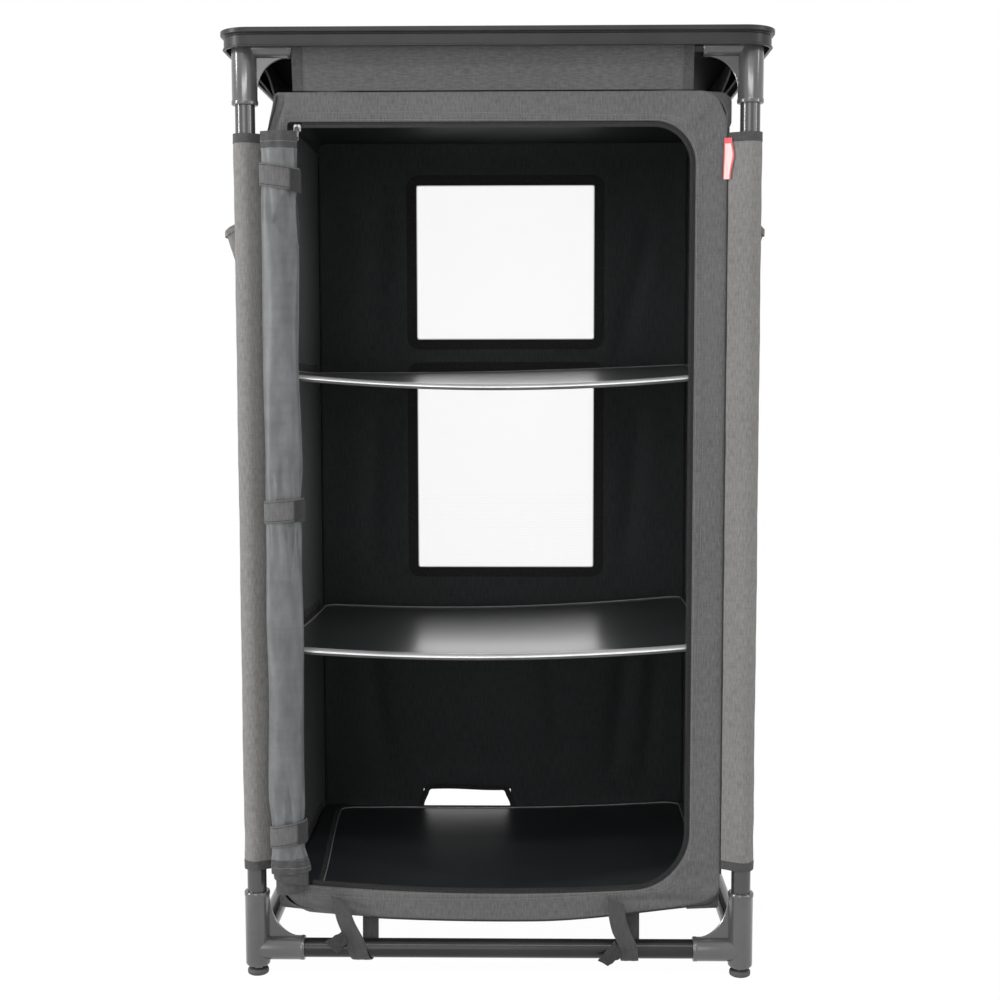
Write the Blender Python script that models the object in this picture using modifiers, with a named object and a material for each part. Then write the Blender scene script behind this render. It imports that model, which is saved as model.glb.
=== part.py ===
"""Camping cabinet: a plug-together tube frame that carries a fabric box with three shelves.

Metres, +Z up. The origin is on the ground under the middle of the tabletop, and the open
front of the cabinet looks along -Y. Every size below is a real size.
"""
import math

import bmesh
import bpy
from mathutils import Matrix, Vector

# Overall size of the tabletop and its height above the ground
width = 0.600
depth = 0.500
height = 1.050

# Clearances and mesh values shared by all pieces
fit_gap = 0.0003
weld_distance = 0.00001
fine_weld = 0.000001
overrun = 0.004
round_steps = 16
corner_steps = 5
flat_angle = 0.5

# Frame tubes
tube_diameter = 0.022
tube_wall = 0.0010
top_rail_diameter = 0.017
leg_inset_x = 0.026
leg_inset_y = 0.030
bottom_rail_height = 0.030

# Tabletop board and the plastic rim round it
rim_height = 0.020
rim_corner_radius = 0.035
rim_lip_height = 0.0052
rim_lip_width = 0.0120
rim_lip_thickness = 0.0012
rim_step = 0.0035
rim_groove = 0.0012
rim_skirt_thickness = 0.0026
rim_bead_height = 0.0018
rim_bead_reach = 0.0012
rim_ledge_width = 0.0100
rim_ledge_thickness = 0.0012
board_thickness = 0.0050

# Corner connectors
socket_wall = 0.0025
top_socket_wall = 0.0018
top_socket_drop = 0.0715
top_arm_reach = 0.052
bottom_arm_reach = 0.054
bottom_socket_top = 0.0970
bottom_socket_foot = 0.0105
core_length = 0.0155
leg_floor_height = 0.0520
top_bore_cap = 0.0252
gusset_thickness = 0.0030
arm_step = 0.0003
top_gusset_reach = 0.034
top_gusset_drop = 0.036
bottom_gusset_reach = 0.036
bottom_gusset_rise = 0.050

# Levelling feet
foot_radius = 0.0120
foot_pad_height = 0.0072
foot_edge = 0.0020
foot_nut_radius = 0.0075
foot_nut_height = 0.0028
foot_stem_radius = 0.0040
foot_stem_top = 0.0340
foot_bore_top = 0.0390

# Fabric box, placed from the legs' axes and the top rails
cloth = 0.0016
box_side_inset = 0.0240
box_rear_inset = 0.0264
box_top_drop = 0.0466
box_top_radius = 0.030
box_bottom_radius = 0.036
wall_bottom = 0.0735
hem_height = 0.0730
hem_sag = 0.0104

# Door opening in the front panel and the zip tape behind its edge
door_left_margin = 0.0220
door_right_margin = 0.0345
door_top_margin = 0.0320
door_bottom = 0.1010
door_bottom_sag = 0.0095
door_radius_top = 0.046
door_radius_bottom = 0.062
door_radius_left = 0.012
tape_thickness = 0.0012
tape_show = 0.0065
tape_lap = 0.0070
tape_end_gap = 0.0020

# Rear panel: two mesh windows and the slot for a mains cable
window_left = -0.117
window_right = 0.1246
window_top_margin = 0.056
window_height = 0.208
window_spacing = 0.042
low_window_height = 0.269
window_radius = 0.004
window_mesh = 0.0008
slot_left = -0.111
slot_right = 0.045
slot_low = 0.0832
slot_high = 0.0985
slot_radius = 0.009

# Shelves: a board inside a vinyl cover, sagging a little at mid-width
shelf_board = 0.0030
shelf_skin = 0.0012
shelf_front_gap = 0.0166
shelf_rear_gap = 0.0060
shelf_radius = 0.028
shelf_sag = 0.0080
shelf_stations = 8
shelf_edge = 0.0040
floor_height = 0.0820
low_compartment = 0.2840
middle_compartment = 0.3110

# Leg sleeves, between the corner connectors
sleeve_top_gap = 0.0307
sleeve_bottom_gap = 0.0270
sleeve_cloth = 0.0020
sleeve_slack = 0.0008
seam_plies = 2

# Valances that hang the box from the top rails
valance_cloth = 0.0012
front_valance_left_gap = 0.0005
front_valance_right_gap = 0.0100
valance_end_gap = 0.0040

# Rolled door at the left of the opening
roll_overhang = 0.0082
roll_half_width = 0.0212
roll_half_depth = 0.0120
roll_top_gap = 0.0120
roll_bottom_gap = 0.0180
roll_rings = 36
roll_sides = 18
roll_pinch_share = 0.86
roll_pinch_length = 0.040
roll_fold = 0.0010
roll_hem_height = 0.022
roll_hem_flare_share = 0.10
strap_thickness = 0.0015
strap_width = 0.0265
strap_top_inset = 0.0455
strap_bottom_inset = 0.0490
strap_middle_rise = 0.0010

# Straps that tie the box down to the front rail
tie_width = 0.0250
tie_thickness = 0.0018
tie_top = 0.0860
tie_left_inset = 0.0300
tie_right_inset = 0.0880
tie_lean = 0.0160
tie_back_drop = 0.0012

# Side pockets
pocket_front_gap = 0.0236
pocket_back_gap = 0.0420
pocket_top_gap = 0.1360
pocket_height = 0.2500
pocket_left_reach = 0.0490
pocket_right_reach = 0.0435
pocket_root = 0.0040
pocket_curve_share = 1.6
pocket_steps = 8

# Zip slider, its pull tab and the side tag
slider_inset = 0.0108
slider_width = 0.0086
slider_height = 0.0086
slider_depth = 0.0034
slider_drop = 0.0108
pull_width = 0.0052
pull_length = 0.0150
pull_thickness = 0.0012
pull_droop_degrees = 19.0
tag_lap = 0.0026
tag_reach = 0.0056
tag_drop = 0.0050
tag_height = 0.0420
tag_thickness = 0.0010

# Worked out from the values above
leg_x = width / 2 - leg_inset_x
leg_y = depth / 2 - leg_inset_y
tube_radius = tube_diameter / 2
top_rail_radius = top_rail_diameter / 2
socket_radius = tube_radius + fit_gap + socket_wall
top_arm_radius = top_rail_radius + fit_gap + top_socket_wall
rim_low = height - rim_height
board_top = height - rim_lip_thickness - fit_gap
board_bottom = board_top - board_thickness
connector_top = board_bottom - fit_gap
top_rail_height = connector_top - top_arm_radius
top_bore_height = connector_top - top_bore_cap
box_half_width = leg_x - box_side_inset
box_top = top_rail_height - box_top_drop
box_front = -leg_y - cloth
box_rear = leg_y - box_rear_inset
front_inner = box_front + cloth
rear_inner = box_rear - cloth
wall_front = front_inner + fit_gap
wall_rear = rear_inner - fit_gap
wall_inner = box_half_width - cloth
door_left = -box_half_width + door_left_margin
door_right = box_half_width - door_right_margin
door_top = box_top - door_top_margin
window_high = box_top - window_top_margin
window_low = window_high - window_height
low_window_high = window_low - window_spacing
low_window_low = low_window_high - low_window_height
shelf_front = box_front + shelf_front_gap
shelf_rear = rear_inner - shelf_rear_gap
shelf_half_width = wall_inner - fit_gap
mid_shelf_height = floor_height + low_compartment
top_shelf_height = mid_shelf_height + middle_compartment
cover_thickness = shelf_board + 2 * (shelf_skin + fit_gap)
sleeve_top = connector_top - top_socket_drop - sleeve_top_gap
sleeve_bottom = bottom_socket_top + sleeve_bottom_gap
front_valance_left = -leg_x + top_arm_reach + front_valance_left_gap
front_valance_right = leg_x - top_arm_reach - front_valance_right_gap
tie_left_x = -leg_x + bottom_arm_reach + tie_left_inset
tie_right_x = leg_x - bottom_arm_reach - tie_right_inset
pocket_front = box_front + pocket_front_gap
pocket_back = rear_inner - pocket_back_gap
pocket_high = box_top - pocket_top_gap
pocket_low = pocket_high - pocket_height
slider_x = door_left + slider_inset
slider_bottom = door_top - slider_drop
tag_left = box_half_width - tag_lap
tag_right = box_half_width + tag_reach
tag_high = sleeve_top - tag_drop
tag_low = tag_high - tag_height
roll_x = door_left - roll_overhang
roll_top = door_top - roll_top_gap
roll_bottom = door_bottom + roll_bottom_gap
strap_heights = (
    roll_top - strap_top_inset,
    (roll_top + roll_bottom) / 2 + strap_middle_rise,
    roll_bottom + strap_bottom_inset,
)
strap_outer_depth = roll_half_depth * roll_pinch_share + fit_gap + strap_thickness
roll_y = box_front - fit_gap - max(roll_half_depth, strap_outer_depth)


def clear_scene():
    """Empty the scene and make one collection for the cabinet and one for its cutters."""
    for old in list(bpy.data.objects):
        bpy.data.objects.remove(old, do_unlink=True)
    found = []
    for title in ("camping_cabinet", "cutters"):
        collection = bpy.data.collections.get(title) or bpy.data.collections.new(title)
        if title not in bpy.context.scene.collection.children:
            bpy.context.scene.collection.children.link(collection)
        found.append(collection)
    return found


parts, cutters = clear_scene()


def finish(title, color, roughness, metallic=0.0):
    """A Principled material with one colour."""
    material = bpy.data.materials.new(title)
    material.use_nodes = True
    shader = material.node_tree.nodes["Principled BSDF"]
    shader.inputs["Base Color"].default_value = (*color, 1.0)
    shader.inputs["Roughness"].default_value = roughness
    shader.inputs["Metallic"].default_value = metallic
    return material


tube_finish = finish("powder_coated_tube", (0.10, 0.10, 0.10), 0.38, 0.6)
connector_finish = finish("moulded_connector", (0.085, 0.085, 0.088), 0.5)
rim_finish = finish("edge_trim", (0.050, 0.050, 0.052), 0.45)
board_finish = finish("tabletop_laminate", (0.060, 0.060, 0.063), 0.5)
foot_finish = finish("foot_rubber", (0.045, 0.045, 0.045), 0.7)
outer_cloth = finish("coated_polyester", (0.130, 0.130, 0.130), 0.85)
sleeve_cloth_finish = finish("sleeve_polyester", (0.190, 0.188, 0.186), 0.85)
door_cloth = finish("door_inner_face", (0.150, 0.160, 0.155), 0.6)
shelf_vinyl = finish("shelf_vinyl", (0.018, 0.021, 0.022), 0.2)
shelf_core = finish("shelf_board", (0.300, 0.220, 0.140), 0.8)
window_net = finish("window_mesh", (0.800, 0.800, 0.800), 0.8)
zip_cloth = finish("zip_tape", (0.030, 0.030, 0.030), 0.8)
webbing = finish("hook_and_loop_strap", (0.105, 0.110, 0.110), 0.85)
slider_metal = finish("zip_metal", (0.600, 0.600, 0.580), 0.3, 1.0)
tag_cloth = finish("side_tag", (0.750, 0.180, 0.160), 0.7)


def arc(center, radii, start, end, steps):
    """Points of an elliptical arc; angles in degrees."""
    points = []
    for i in range(steps + 1):
        angle = math.radians(start + (end - start) * i / steps)
        points.append((center[0] + radii[0] * math.cos(angle), center[1] + radii[1] * math.sin(angle)))
    return points


def circle(center, radius, steps=round_steps):
    """Points of a whole circle, with flats at its top, bottom and sides."""
    turn = 180 / steps
    return arc(center, (radius, radius), turn, turn + 360, steps)[:-1]


def rounded_box(left, right, low, high, radii, steps=corner_steps):
    """A rectangle with its own radius at each corner: low left, low right, high right, high left."""
    places = (
        (left, low, 1, 1, 180),
        (right, low, -1, 1, 270),
        (right, high, -1, -1, 0),
        (left, high, 1, -1, 90),
    )
    points = []
    for radius, (a, b, toward_a, toward_b, start) in zip(radii, places):
        center = (a + toward_a * radius, b + toward_b * radius)
        points += arc(center, (radius, radius), start, start + 90, steps)
    return points


def sagged(points, half_width, sag, below):
    """Lower the points under the height below by a parabola that is deepest at mid-width."""
    result = []
    for a, b in points:
        drop = sag * max(0.0, 1 - (a / half_width) ** 2) if b < below else 0.0
        result.append((a, b - drop))
    return result


def strip(line, thickness):
    """The outline of a band of even thickness along a line of points."""
    left, right = [], []
    for i, point in enumerate(line):
        before = Vector(line[max(i - 1, 0)])
        after = Vector(line[min(i + 1, len(line) - 1)])
        run = (after - before).normalized()
        side = Vector((-run.y, run.x)) * (thickness / 2)
        left.append((point[0] + side.x, point[1] + side.y))
        right.append((point[0] - side.x, point[1] - side.y))
    return left + right[::-1]


planes = {
    "XY": Matrix(((1, 0, 0), (0, 1, 0), (0, 0, 1))),
    "XZ": Matrix(((1, 0, 0), (0, 0, -1), (0, 1, 0))),
    "YZ": Matrix(((0, 0, 1), (1, 0, 0), (0, 1, 0))),
}


def keep(name, mesh, material, collection=parts):
    """Put a finished mesh in a collection as an object of its own."""
    item = bpy.data.objects.new(name, mesh)
    collection.objects.link(item)
    mesh.materials.clear()
    if material:
        mesh.materials.append(material)
    if collection == cutters:
        item.hide_render = True
        item.display_type = "WIRE"
    return item


def evaluated_mesh(item):
    """The mesh of an object with its modifiers, or of a curve with its welded caps."""
    bpy.context.view_layer.update()
    shape = item.evaluated_get(bpy.context.evaluated_depsgraph_get())
    mesh = bpy.data.meshes.new_from_object(shape)
    mesh.transform(item.matrix_world)
    solid = bmesh.new()
    solid.from_mesh(mesh)
    reach = weld_distance if item.type == "CURVE" else fine_weld
    bmesh.ops.remove_doubles(solid, verts=solid.verts, dist=reach)
    bmesh.ops.recalc_face_normals(solid, faces=solid.faces)
    solid.to_mesh(mesh)
    solid.free()
    bpy.data.objects.remove(item, do_unlink=True)
    return mesh


def prism_mesh(loops, start, end, plane):
    """Flat outlines, the later ones holes, extruded from start to end across their plane."""
    curve = bpy.data.curves.new("outline", "CURVE")
    curve.dimensions = "2D"
    curve.fill_mode = "BOTH"
    curve.extrude = abs(end - start) / 2
    for loop in loops:
        spline = curve.splines.new("POLY")
        spline.points.add(len(loop) - 1)
        for target, (a, b) in zip(spline.points, loop):
            target.co = (a, b, 0, 1)
        spline.use_cyclic_u = True
    item = bpy.data.objects.new("outline", curve)
    parts.objects.link(item)
    turn = planes[plane]
    middle = turn @ Vector((0, 0, 1)) * ((start + end) / 2)
    if plane == "XZ":
        middle = -middle
    item.matrix_world = Matrix.Translation(middle) @ turn.to_4x4()
    return evaluated_mesh(item)


def prism(name, loops, start, end, plane, material, collection=parts):
    """A flat-sided solid in its own node."""
    mesh = prism_mesh(loops, start, end, plane)
    return keep(name, mesh, material, collection)


def combine(base, others, operation):
    """Add Boolean modifiers to a base for cutters or for shapes that join it."""
    for other in others:
        modifier = base.modifiers.new(other.name, "BOOLEAN")
        modifier.operation = operation
        modifier.solver = "EXACT"
        modifier.object = other
    return base


def smooth(mesh, degrees=35):
    """Shade round faces smooth and keep true edges sharp."""
    mesh.shade_smooth()
    mesh.set_sharp_from_angle(angle=math.radians(degrees))


# Tabletop
def tabletop():
    """The board, flush with the lip on its rebated edge, and the rim swept round it."""
    levels = []
    for inset, low, high in (
        (rim_step + rim_skirt_thickness + fit_gap, board_bottom, board_top),
        (rim_lip_width + fit_gap, board_top, height),
    ):
        half = (width / 2 - inset, depth / 2 - inset)
        radii = (rim_corner_radius - inset,) * 4
        level = rounded_box(-half[0], half[0], -half[1], half[1], radii)
        levels += [[(a, b, low) for a, b in level], [(a, b, high) for a, b in level]]
    count, last = len(levels[0]), len(levels) - 1
    faces = [tuple(range(count))[::-1], tuple(range(last * count, (last + 1) * count))]
    for i in range(last):
        for j in range(count):
            k = (j + 1) % count
            faces.append((i * count + j, i * count + k, (i + 1) * count + k, (i + 1) * count + j))
    mesh = bpy.data.meshes.new("tabletop_board")
    mesh.from_pydata([point for level in levels for point in level], [], faces)
    keep("tabletop_board", mesh, board_finish)

    lip_low = height - rim_lip_height
    skirt_top = lip_low - rim_groove
    ledge_top = board_bottom - fit_gap
    ledge_low = ledge_top - rim_ledge_thickness
    inner = rim_step + rim_skirt_thickness
    profile = [
        (0, height - rim_lip_thickness),
        (-rim_lip_thickness, height),
        (-rim_lip_width, height),
        (-rim_lip_width, height - rim_lip_thickness),
        (-inner, height - rim_lip_thickness),
        (-inner, ledge_top),
        (-rim_ledge_width, ledge_top),
        (-rim_ledge_width, ledge_low),
        (-inner, ledge_low),
        (-inner, rim_low),
        (-rim_step + rim_bead_reach, rim_low),
        (-rim_step + rim_bead_reach, rim_low + rim_bead_height),
        (-rim_step, rim_low + rim_bead_height),
        (-rim_step, skirt_top - rim_groove),
        (-rim_step - rim_groove, skirt_top),
        (-rim_step, lip_low),
        (0, lip_low),
    ]
    section = bpy.data.curves.new("rim_section", "CURVE")
    section.dimensions = "2D"
    line = section.splines.new("POLY")
    line.points.add(len(profile) - 1)
    for target, (a, b) in zip(line.points, profile):
        target.co = (a, b, 0, 1)
    line.use_cyclic_u = True
    section_item = bpy.data.objects.new("rim_section", section)
    cutters.objects.link(section_item)

    path = bpy.data.curves.new("rim_path", "CURVE")
    path.dimensions = "3D"
    path.twist_mode = "Z_UP"
    path.bevel_mode = "OBJECT"
    path.bevel_object = section_item
    outer = rounded_box(-width / 2, width / 2, -depth / 2, depth / 2, (rim_corner_radius,) * 4)
    ring = path.splines.new("POLY")
    ring.points.add(len(outer) - 1)
    for target, (a, b) in zip(ring.points, outer):
        target.co = (a, b, 0, 1)
    ring.use_cyclic_u = True
    path_item = bpy.data.objects.new("rim_path", path)
    parts.objects.link(path_item)
    mesh = evaluated_mesh(path_item)
    bpy.data.objects.remove(section_item, do_unlink=True)
    keep("tabletop_rim", mesh, rim_finish)


# Corner connectors
def cylinder_mesh(radius, start, end, axis, center):
    """A plain cylinder mesh between two places on one axis; center holds the other two."""
    plane = {"Z": "XY", "X": "YZ", "Y": "XZ"}[axis]
    return prism_mesh([circle(center, radius)], start, end, plane)


def gusset_outline(corner, reach, drop, root):
    """A web in the corner of two arms with a concave free edge; root is sunk into both arms."""
    a, b = corner
    sign = 1 if drop > 0 else -1
    free = arc((a + reach, b + drop), (reach, abs(drop)), 180, 180 + sign * 90, corner_steps)
    return [(a - root, b - sign * root), (a - root, b + drop)] + free + [(a + reach, b - sign * root)]


def connector(name, upright, arm, gusset):
    """Three sockets with two webs, drawn with its upright on the Z axis and arms on +X and +Y."""
    low, high, bore_low, bore_high = upright
    arm_height, arm_radius, arm_bore, arm_reach = arm
    base = keep(name, cylinder_mesh(socket_radius, low, high, "Z", (0, 0)), connector_finish)
    root = core_length / 2
    along_x = cylinder_mesh(arm_radius, root, arm_reach, "X", (0, arm_height))
    along_y = cylinder_mesh(arm_radius, root, arm_reach, "Y", (0, arm_height))
    corner, reach, drop = gusset
    web = gusset_outline(corner, reach, drop, top_socket_wall / 2)
    half = gusset_thickness / 2
    web_x = prism_mesh([web], -half, half, "XZ")
    web_y = prism_mesh([web], -half, half, "YZ")
    joined = (along_x, along_y, web_x, web_y)
    added = [keep(f"{name}_add_{i}", mesh, None, cutters) for i, mesh in enumerate(joined)]
    combine(base, added, "UNION")
    leg_bore = cylinder_mesh(tube_radius + fit_gap, bore_low, bore_high, "Z", (0, 0))
    x_bore = cylinder_mesh(arm_bore, core_length, arm_reach + overrun, "X", (0, arm_height))
    y_bore = cylinder_mesh(arm_bore, core_length, arm_reach + overrun, "Y", (0, arm_height))
    taken = [leg_bore, x_bore, y_bore]
    if name.startswith("bottom"):
        taken.append(cylinder_mesh(foot_stem_radius + fit_gap, low - overrun, foot_bore_top, "Z", (0, 0)))
    taken = [keep(f"{name}_cut_{i}", mesh, None, cutters) for i, mesh in enumerate(taken)]
    combine(base, taken, "DIFFERENCE")
    mesh = evaluated_mesh(base)
    smooth(mesh)
    for helper in added + taken:
        bpy.data.objects.remove(helper, do_unlink=True)
    return mesh


corners = {
    "front_left": (-1, -1, 0),
    "front_right": (1, -1, 90),
    "rear_right": (1, 1, 180),
    "rear_left": (-1, 1, 270),
}


def connectors():
    """One mesh for the top corners and one for the bottom, each placed four times."""
    top_low = connector_top - top_socket_drop
    bottom_arm_radius = socket_radius - arm_step
    top = connector(
        "top_connector",
        (top_low, connector_top, top_low - overrun, top_bore_height),
        (top_rail_height, top_arm_radius, top_rail_radius + fit_gap, top_arm_reach),
        ((socket_radius, top_rail_height - top_arm_radius), top_gusset_reach, -top_gusset_drop),
    )
    bottom = connector(
        "bottom_connector",
        (bottom_socket_foot, bottom_socket_top, leg_floor_height, bottom_socket_top + overrun),
        (bottom_rail_height, bottom_arm_radius, tube_radius + fit_gap, bottom_arm_reach),
        ((socket_radius, bottom_rail_height + bottom_arm_radius), bottom_gusset_reach, bottom_gusset_rise),
    )
    for level, mesh in (("top", top), ("bottom", bottom)):
        for corner, (side_x, side_y, turn) in corners.items():
            item = keep(f"{level}_connector_{corner}", mesh, connector_finish)
            item.location = (side_x * leg_x, side_y * leg_y, 0)
            item.rotation_euler = (0, 0, math.radians(turn))


# Tubes
def tube(name, radius, start, end, plane, center):
    """A straight tube with open ends."""
    loops = [circle(center, radius), circle(center, radius - tube_wall)]
    item = prism(name, loops, start, end, plane, tube_finish)
    smooth(item.data)


def frame_tubes():
    """Four legs, four top rails and four bottom rails, each pushed home in its sockets."""
    leg_ends = (leg_floor_height + fit_gap, top_bore_height - fit_gap)
    for corner, (side_x, side_y, turn) in corners.items():
        tube(f"leg_{corner}", tube_radius, *leg_ends, "XY", (side_x * leg_x, side_y * leg_y))
    half_x = leg_x - core_length - fit_gap
    half_y = leg_y - core_length - fit_gap
    levels = (("top", top_rail_radius, top_rail_height), ("bottom", tube_radius, bottom_rail_height))
    for level, radius, rail_z in levels:
        for title, side in (("front", -1), ("rear", 1)):
            tube(f"{level}_rail_{title}", radius, -half_x, half_x, "YZ", (side * leg_y, rail_z))
        for title, side in (("left", -1), ("right", 1)):
            tube(f"{level}_rail_{title}", radius, -half_y, half_y, "XZ", (side * leg_x, rail_z))


def levelling_feet():
    """Turned feet: a pad, a locking nut and a threaded stem that runs up into the connector."""
    profile = [
        (0, foot_stem_top),
        (foot_stem_radius, foot_stem_top),
        (foot_stem_radius, foot_pad_height + foot_nut_height),
        (foot_nut_radius, foot_pad_height + foot_nut_height),
        (foot_nut_radius, foot_pad_height),
        (foot_radius - foot_edge, foot_pad_height),
        (foot_radius, foot_pad_height - foot_edge),
        (foot_radius, foot_edge),
        (foot_radius - foot_edge, 0),
        (0, 0),
    ]
    mesh = bpy.data.meshes.new("foot_profile")
    points = [(x, 0, z) for x, z in profile]
    mesh.from_pydata(points, [(i, i + 1) for i in range(len(points) - 1)], [])
    item = keep("foot_profile", mesh, None)
    screw = item.modifiers.new("turn", "SCREW")
    screw.steps = round_steps
    screw.render_steps = round_steps
    screw.use_merge_vertices = True
    screw.merge_threshold = weld_distance
    turned = evaluated_mesh(item)
    smooth(turned)
    for corner, (side_x, side_y, turn) in corners.items():
        foot = keep(f"levelling_foot_{corner}", turned, foot_finish)
        foot.location = (side_x * leg_x, side_y * leg_y, 0)


# Fabric box
def box_outline(half_width):
    """Front view of the box: rounded top corners and a hem that sags between low corners."""
    radii = (box_bottom_radius, box_bottom_radius, box_top_radius, box_top_radius)
    points = rounded_box(-half_width, half_width, hem_height, box_top, radii)
    straight = half_width - box_bottom_radius
    low = [(straight * (2 * i / shelf_stations - 1), hem_height) for i in range(1, shelf_stations)]
    split = corner_steps + 1
    points = points[:split] + low + points[split:]
    return sagged(points, straight, hem_sag, hem_height + fit_gap)


def door_outline(grow):
    """The door opening, larger by grow all round, with its sagging lower edge."""
    radii = [door_radius_left, door_radius_bottom, door_radius_top, door_radius_left]
    radii = [radius + grow for radius in radii]
    low = door_bottom - grow
    points = rounded_box(door_left - grow, door_right + grow, low, door_top + grow, radii)
    start, end = door_left - grow + radii[0], door_right + grow - radii[1]
    between = [(start + (end - start) * i / shelf_stations, low) for i in range(1, shelf_stations)]
    split = corner_steps + 1
    points = points[:split] + between + points[split:]
    return sagged(points, door_right, door_bottom_sag, door_bottom + door_radius_left)


def window(low, high, gap=0.0):
    """One window of the rear panel, smaller by gap all round."""
    sides = (window_left + gap, window_right - gap)
    return rounded_box(*sides, low + gap, high - gap, (window_radius,) * 4, 2)


def fabric_box():
    """Front, rear, side and roof panels, two net windows and the zip tape."""
    loops = [box_outline(box_half_width), door_outline(0)]
    prism("front_panel", loops, box_front, front_inner, "XZ", outer_cloth)
    for title, side in (("left", -1), ("right", 1)):
        edges = sorted((side * wall_inner, side * box_half_width))
        panel = rounded_box(wall_front, wall_rear, wall_bottom, box_top - cloth - fit_gap, (cloth,) * 4, 1)
        prism(f"side_panel_{title}", [panel], *edges, "YZ", outer_cloth)
    roof = rounded_box(-wall_inner + fit_gap, wall_inner - fit_gap, wall_front, wall_rear, (cloth,) * 4, 1)
    prism("roof_panel", [roof], box_top - cloth, box_top, "XY", outer_cloth)
    rear = rounded_box(-box_half_width, box_half_width, wall_bottom, box_top, (box_top_radius / 2,) * 4)
    slot = rounded_box(slot_left, slot_right, slot_low, slot_high, (cloth, cloth, slot_radius, slot_radius))
    holes = [window(window_low, window_high), window(low_window_low, low_window_high), slot]
    prism("rear_panel", [rear] + holes, rear_inner, box_rear, "XZ", outer_cloth)
    net_start = (rear_inner + box_rear - window_mesh) / 2
    windows = (("upper", window_low, window_high), ("lower", low_window_low, low_window_high))
    for title, low, high in windows:
        pane = window(low, high, fit_gap)
        prism(f"{title}_mesh_window", [pane], net_start, net_start + window_mesh, "XZ", window_net)
    zip_tape()


def zip_tape():
    """A band behind the edge of the opening, open at the left where the door is hinged."""
    outer = door_outline(tape_lap)
    inner = door_outline(-tape_show)
    cut = door_left + door_radius_left + tape_end_gap
    keep_outer = [point for point in outer if point[0] > cut]
    keep_inner = [point for point in inner if point[0] > cut]
    band = [(cut, keep_outer[0][1])] + keep_outer + [(cut, door_top + tape_lap)]
    band += [(cut, door_top - tape_show)] + keep_inner[::-1] + [(cut, keep_inner[0][1])]
    prism("door_zip_tape", [band], wall_front, wall_front + tape_thickness, "XZ", zip_cloth)


# Shelves
def bent(mesh, half_width):
    """Slice a flat mesh across its width and lower the middle along a parabola."""
    solid = bmesh.new()
    solid.from_mesh(mesh)
    flat = math.radians(flat_angle)
    bmesh.ops.dissolve_limit(solid, angle_limit=flat, verts=solid.verts, edges=solid.edges)
    for i in range(1, shelf_stations):
        place = half_width * (2 * i / shelf_stations - 1)
        whole = solid.verts[:] + solid.edges[:] + solid.faces[:]
        across = {"plane_co": (place, 0, 0), "plane_no": (1, 0, 0)}
        bmesh.ops.bisect_plane(solid, geom=whole, dist=weld_distance, **across)
    for vertex in solid.verts:
        vertex.co.z -= shelf_sag * (1 - (vertex.co.x / half_width) ** 2)
    bmesh.ops.triangulate(solid, faces=solid.faces)
    solid.to_mesh(mesh)
    solid.free()


def shelf(title, top):
    """A board in a vinyl cover whose rear edge is open, the way the board is slid in."""
    low = top - cover_thickness
    radii = (shelf_radius,) * 4
    outline = rounded_box(-shelf_half_width, shelf_half_width, shelf_front, shelf_rear, radii)
    cover = prism(f"{title}_cover", [outline], low, top, "XY", shelf_vinyl)
    half = shelf_half_width - shelf_edge
    front = shelf_front + shelf_edge
    radii = (shelf_radius, shelf_radius, cloth, cloth)
    room = rounded_box(-half, half, front, shelf_rear + overrun, radii)
    space = prism("room", [room], low + shelf_skin, top - shelf_skin, "XY", None, cutters)
    combine(cover, [space], "DIFFERENCE")
    mesh = evaluated_mesh(cover)
    bpy.data.objects.remove(space, do_unlink=True)
    bent(mesh, shelf_half_width)
    keep(f"{title}_cover", mesh, shelf_vinyl)
    half -= fit_gap
    plate = rounded_box(-half, half, front + fit_gap, shelf_rear - cloth, radii)
    board_low = low + shelf_skin + fit_gap
    board = prism_mesh([plate], board_low, board_low + shelf_board, "XY")
    bent(board, shelf_half_width)
    keep(f"{title}_board", board, shelf_core)


# Sleeves and valances: a ring of cloth with a flat tail
def ring_with_tail(center, hole_radius, skin, tail_half, end):
    """Outline of a ring round a tube whose two plies run on together to the point end."""
    run = Vector(end) - Vector(center)
    length = run.length
    heading = math.degrees(math.atan2(run.y, run.x))
    outer = hole_radius + skin
    spread = math.degrees(math.asin(tail_half / outer))
    ring = arc(center, (outer, outer), heading + spread, heading + 360 - spread, round_steps)
    side = Vector((-run.y, run.x)) * (tail_half / length)
    tip = Vector(end)
    return [ring + [tuple(tip - side), tuple(tip + side)], circle(center, hole_radius)]


def leg_sleeves():
    """A cloth sleeve round each leg, sewn to the nearest corner of the box."""
    hole = tube_radius + sleeve_slack
    tail_half = seam_plies * cloth / 2
    for corner, (side_x, side_y, turn) in corners.items():
        center = (side_x * leg_x, side_y * leg_y)
        if side_y < 0:
            end = (side_x * (box_half_width + fit_gap), box_front + cloth / 2)
        else:
            seam = Vector((side_x * box_half_width, box_rear))
            outward = (Vector(center) - seam).normalized()
            end = tuple(seam + outward * 2 * fit_gap)
        loops = ring_with_tail(center, hole, sleeve_cloth, tail_half, end)
        prism(f"leg_sleeve_{corner}", loops, sleeve_bottom, sleeve_top, "XY", sleeve_cloth_finish)


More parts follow.
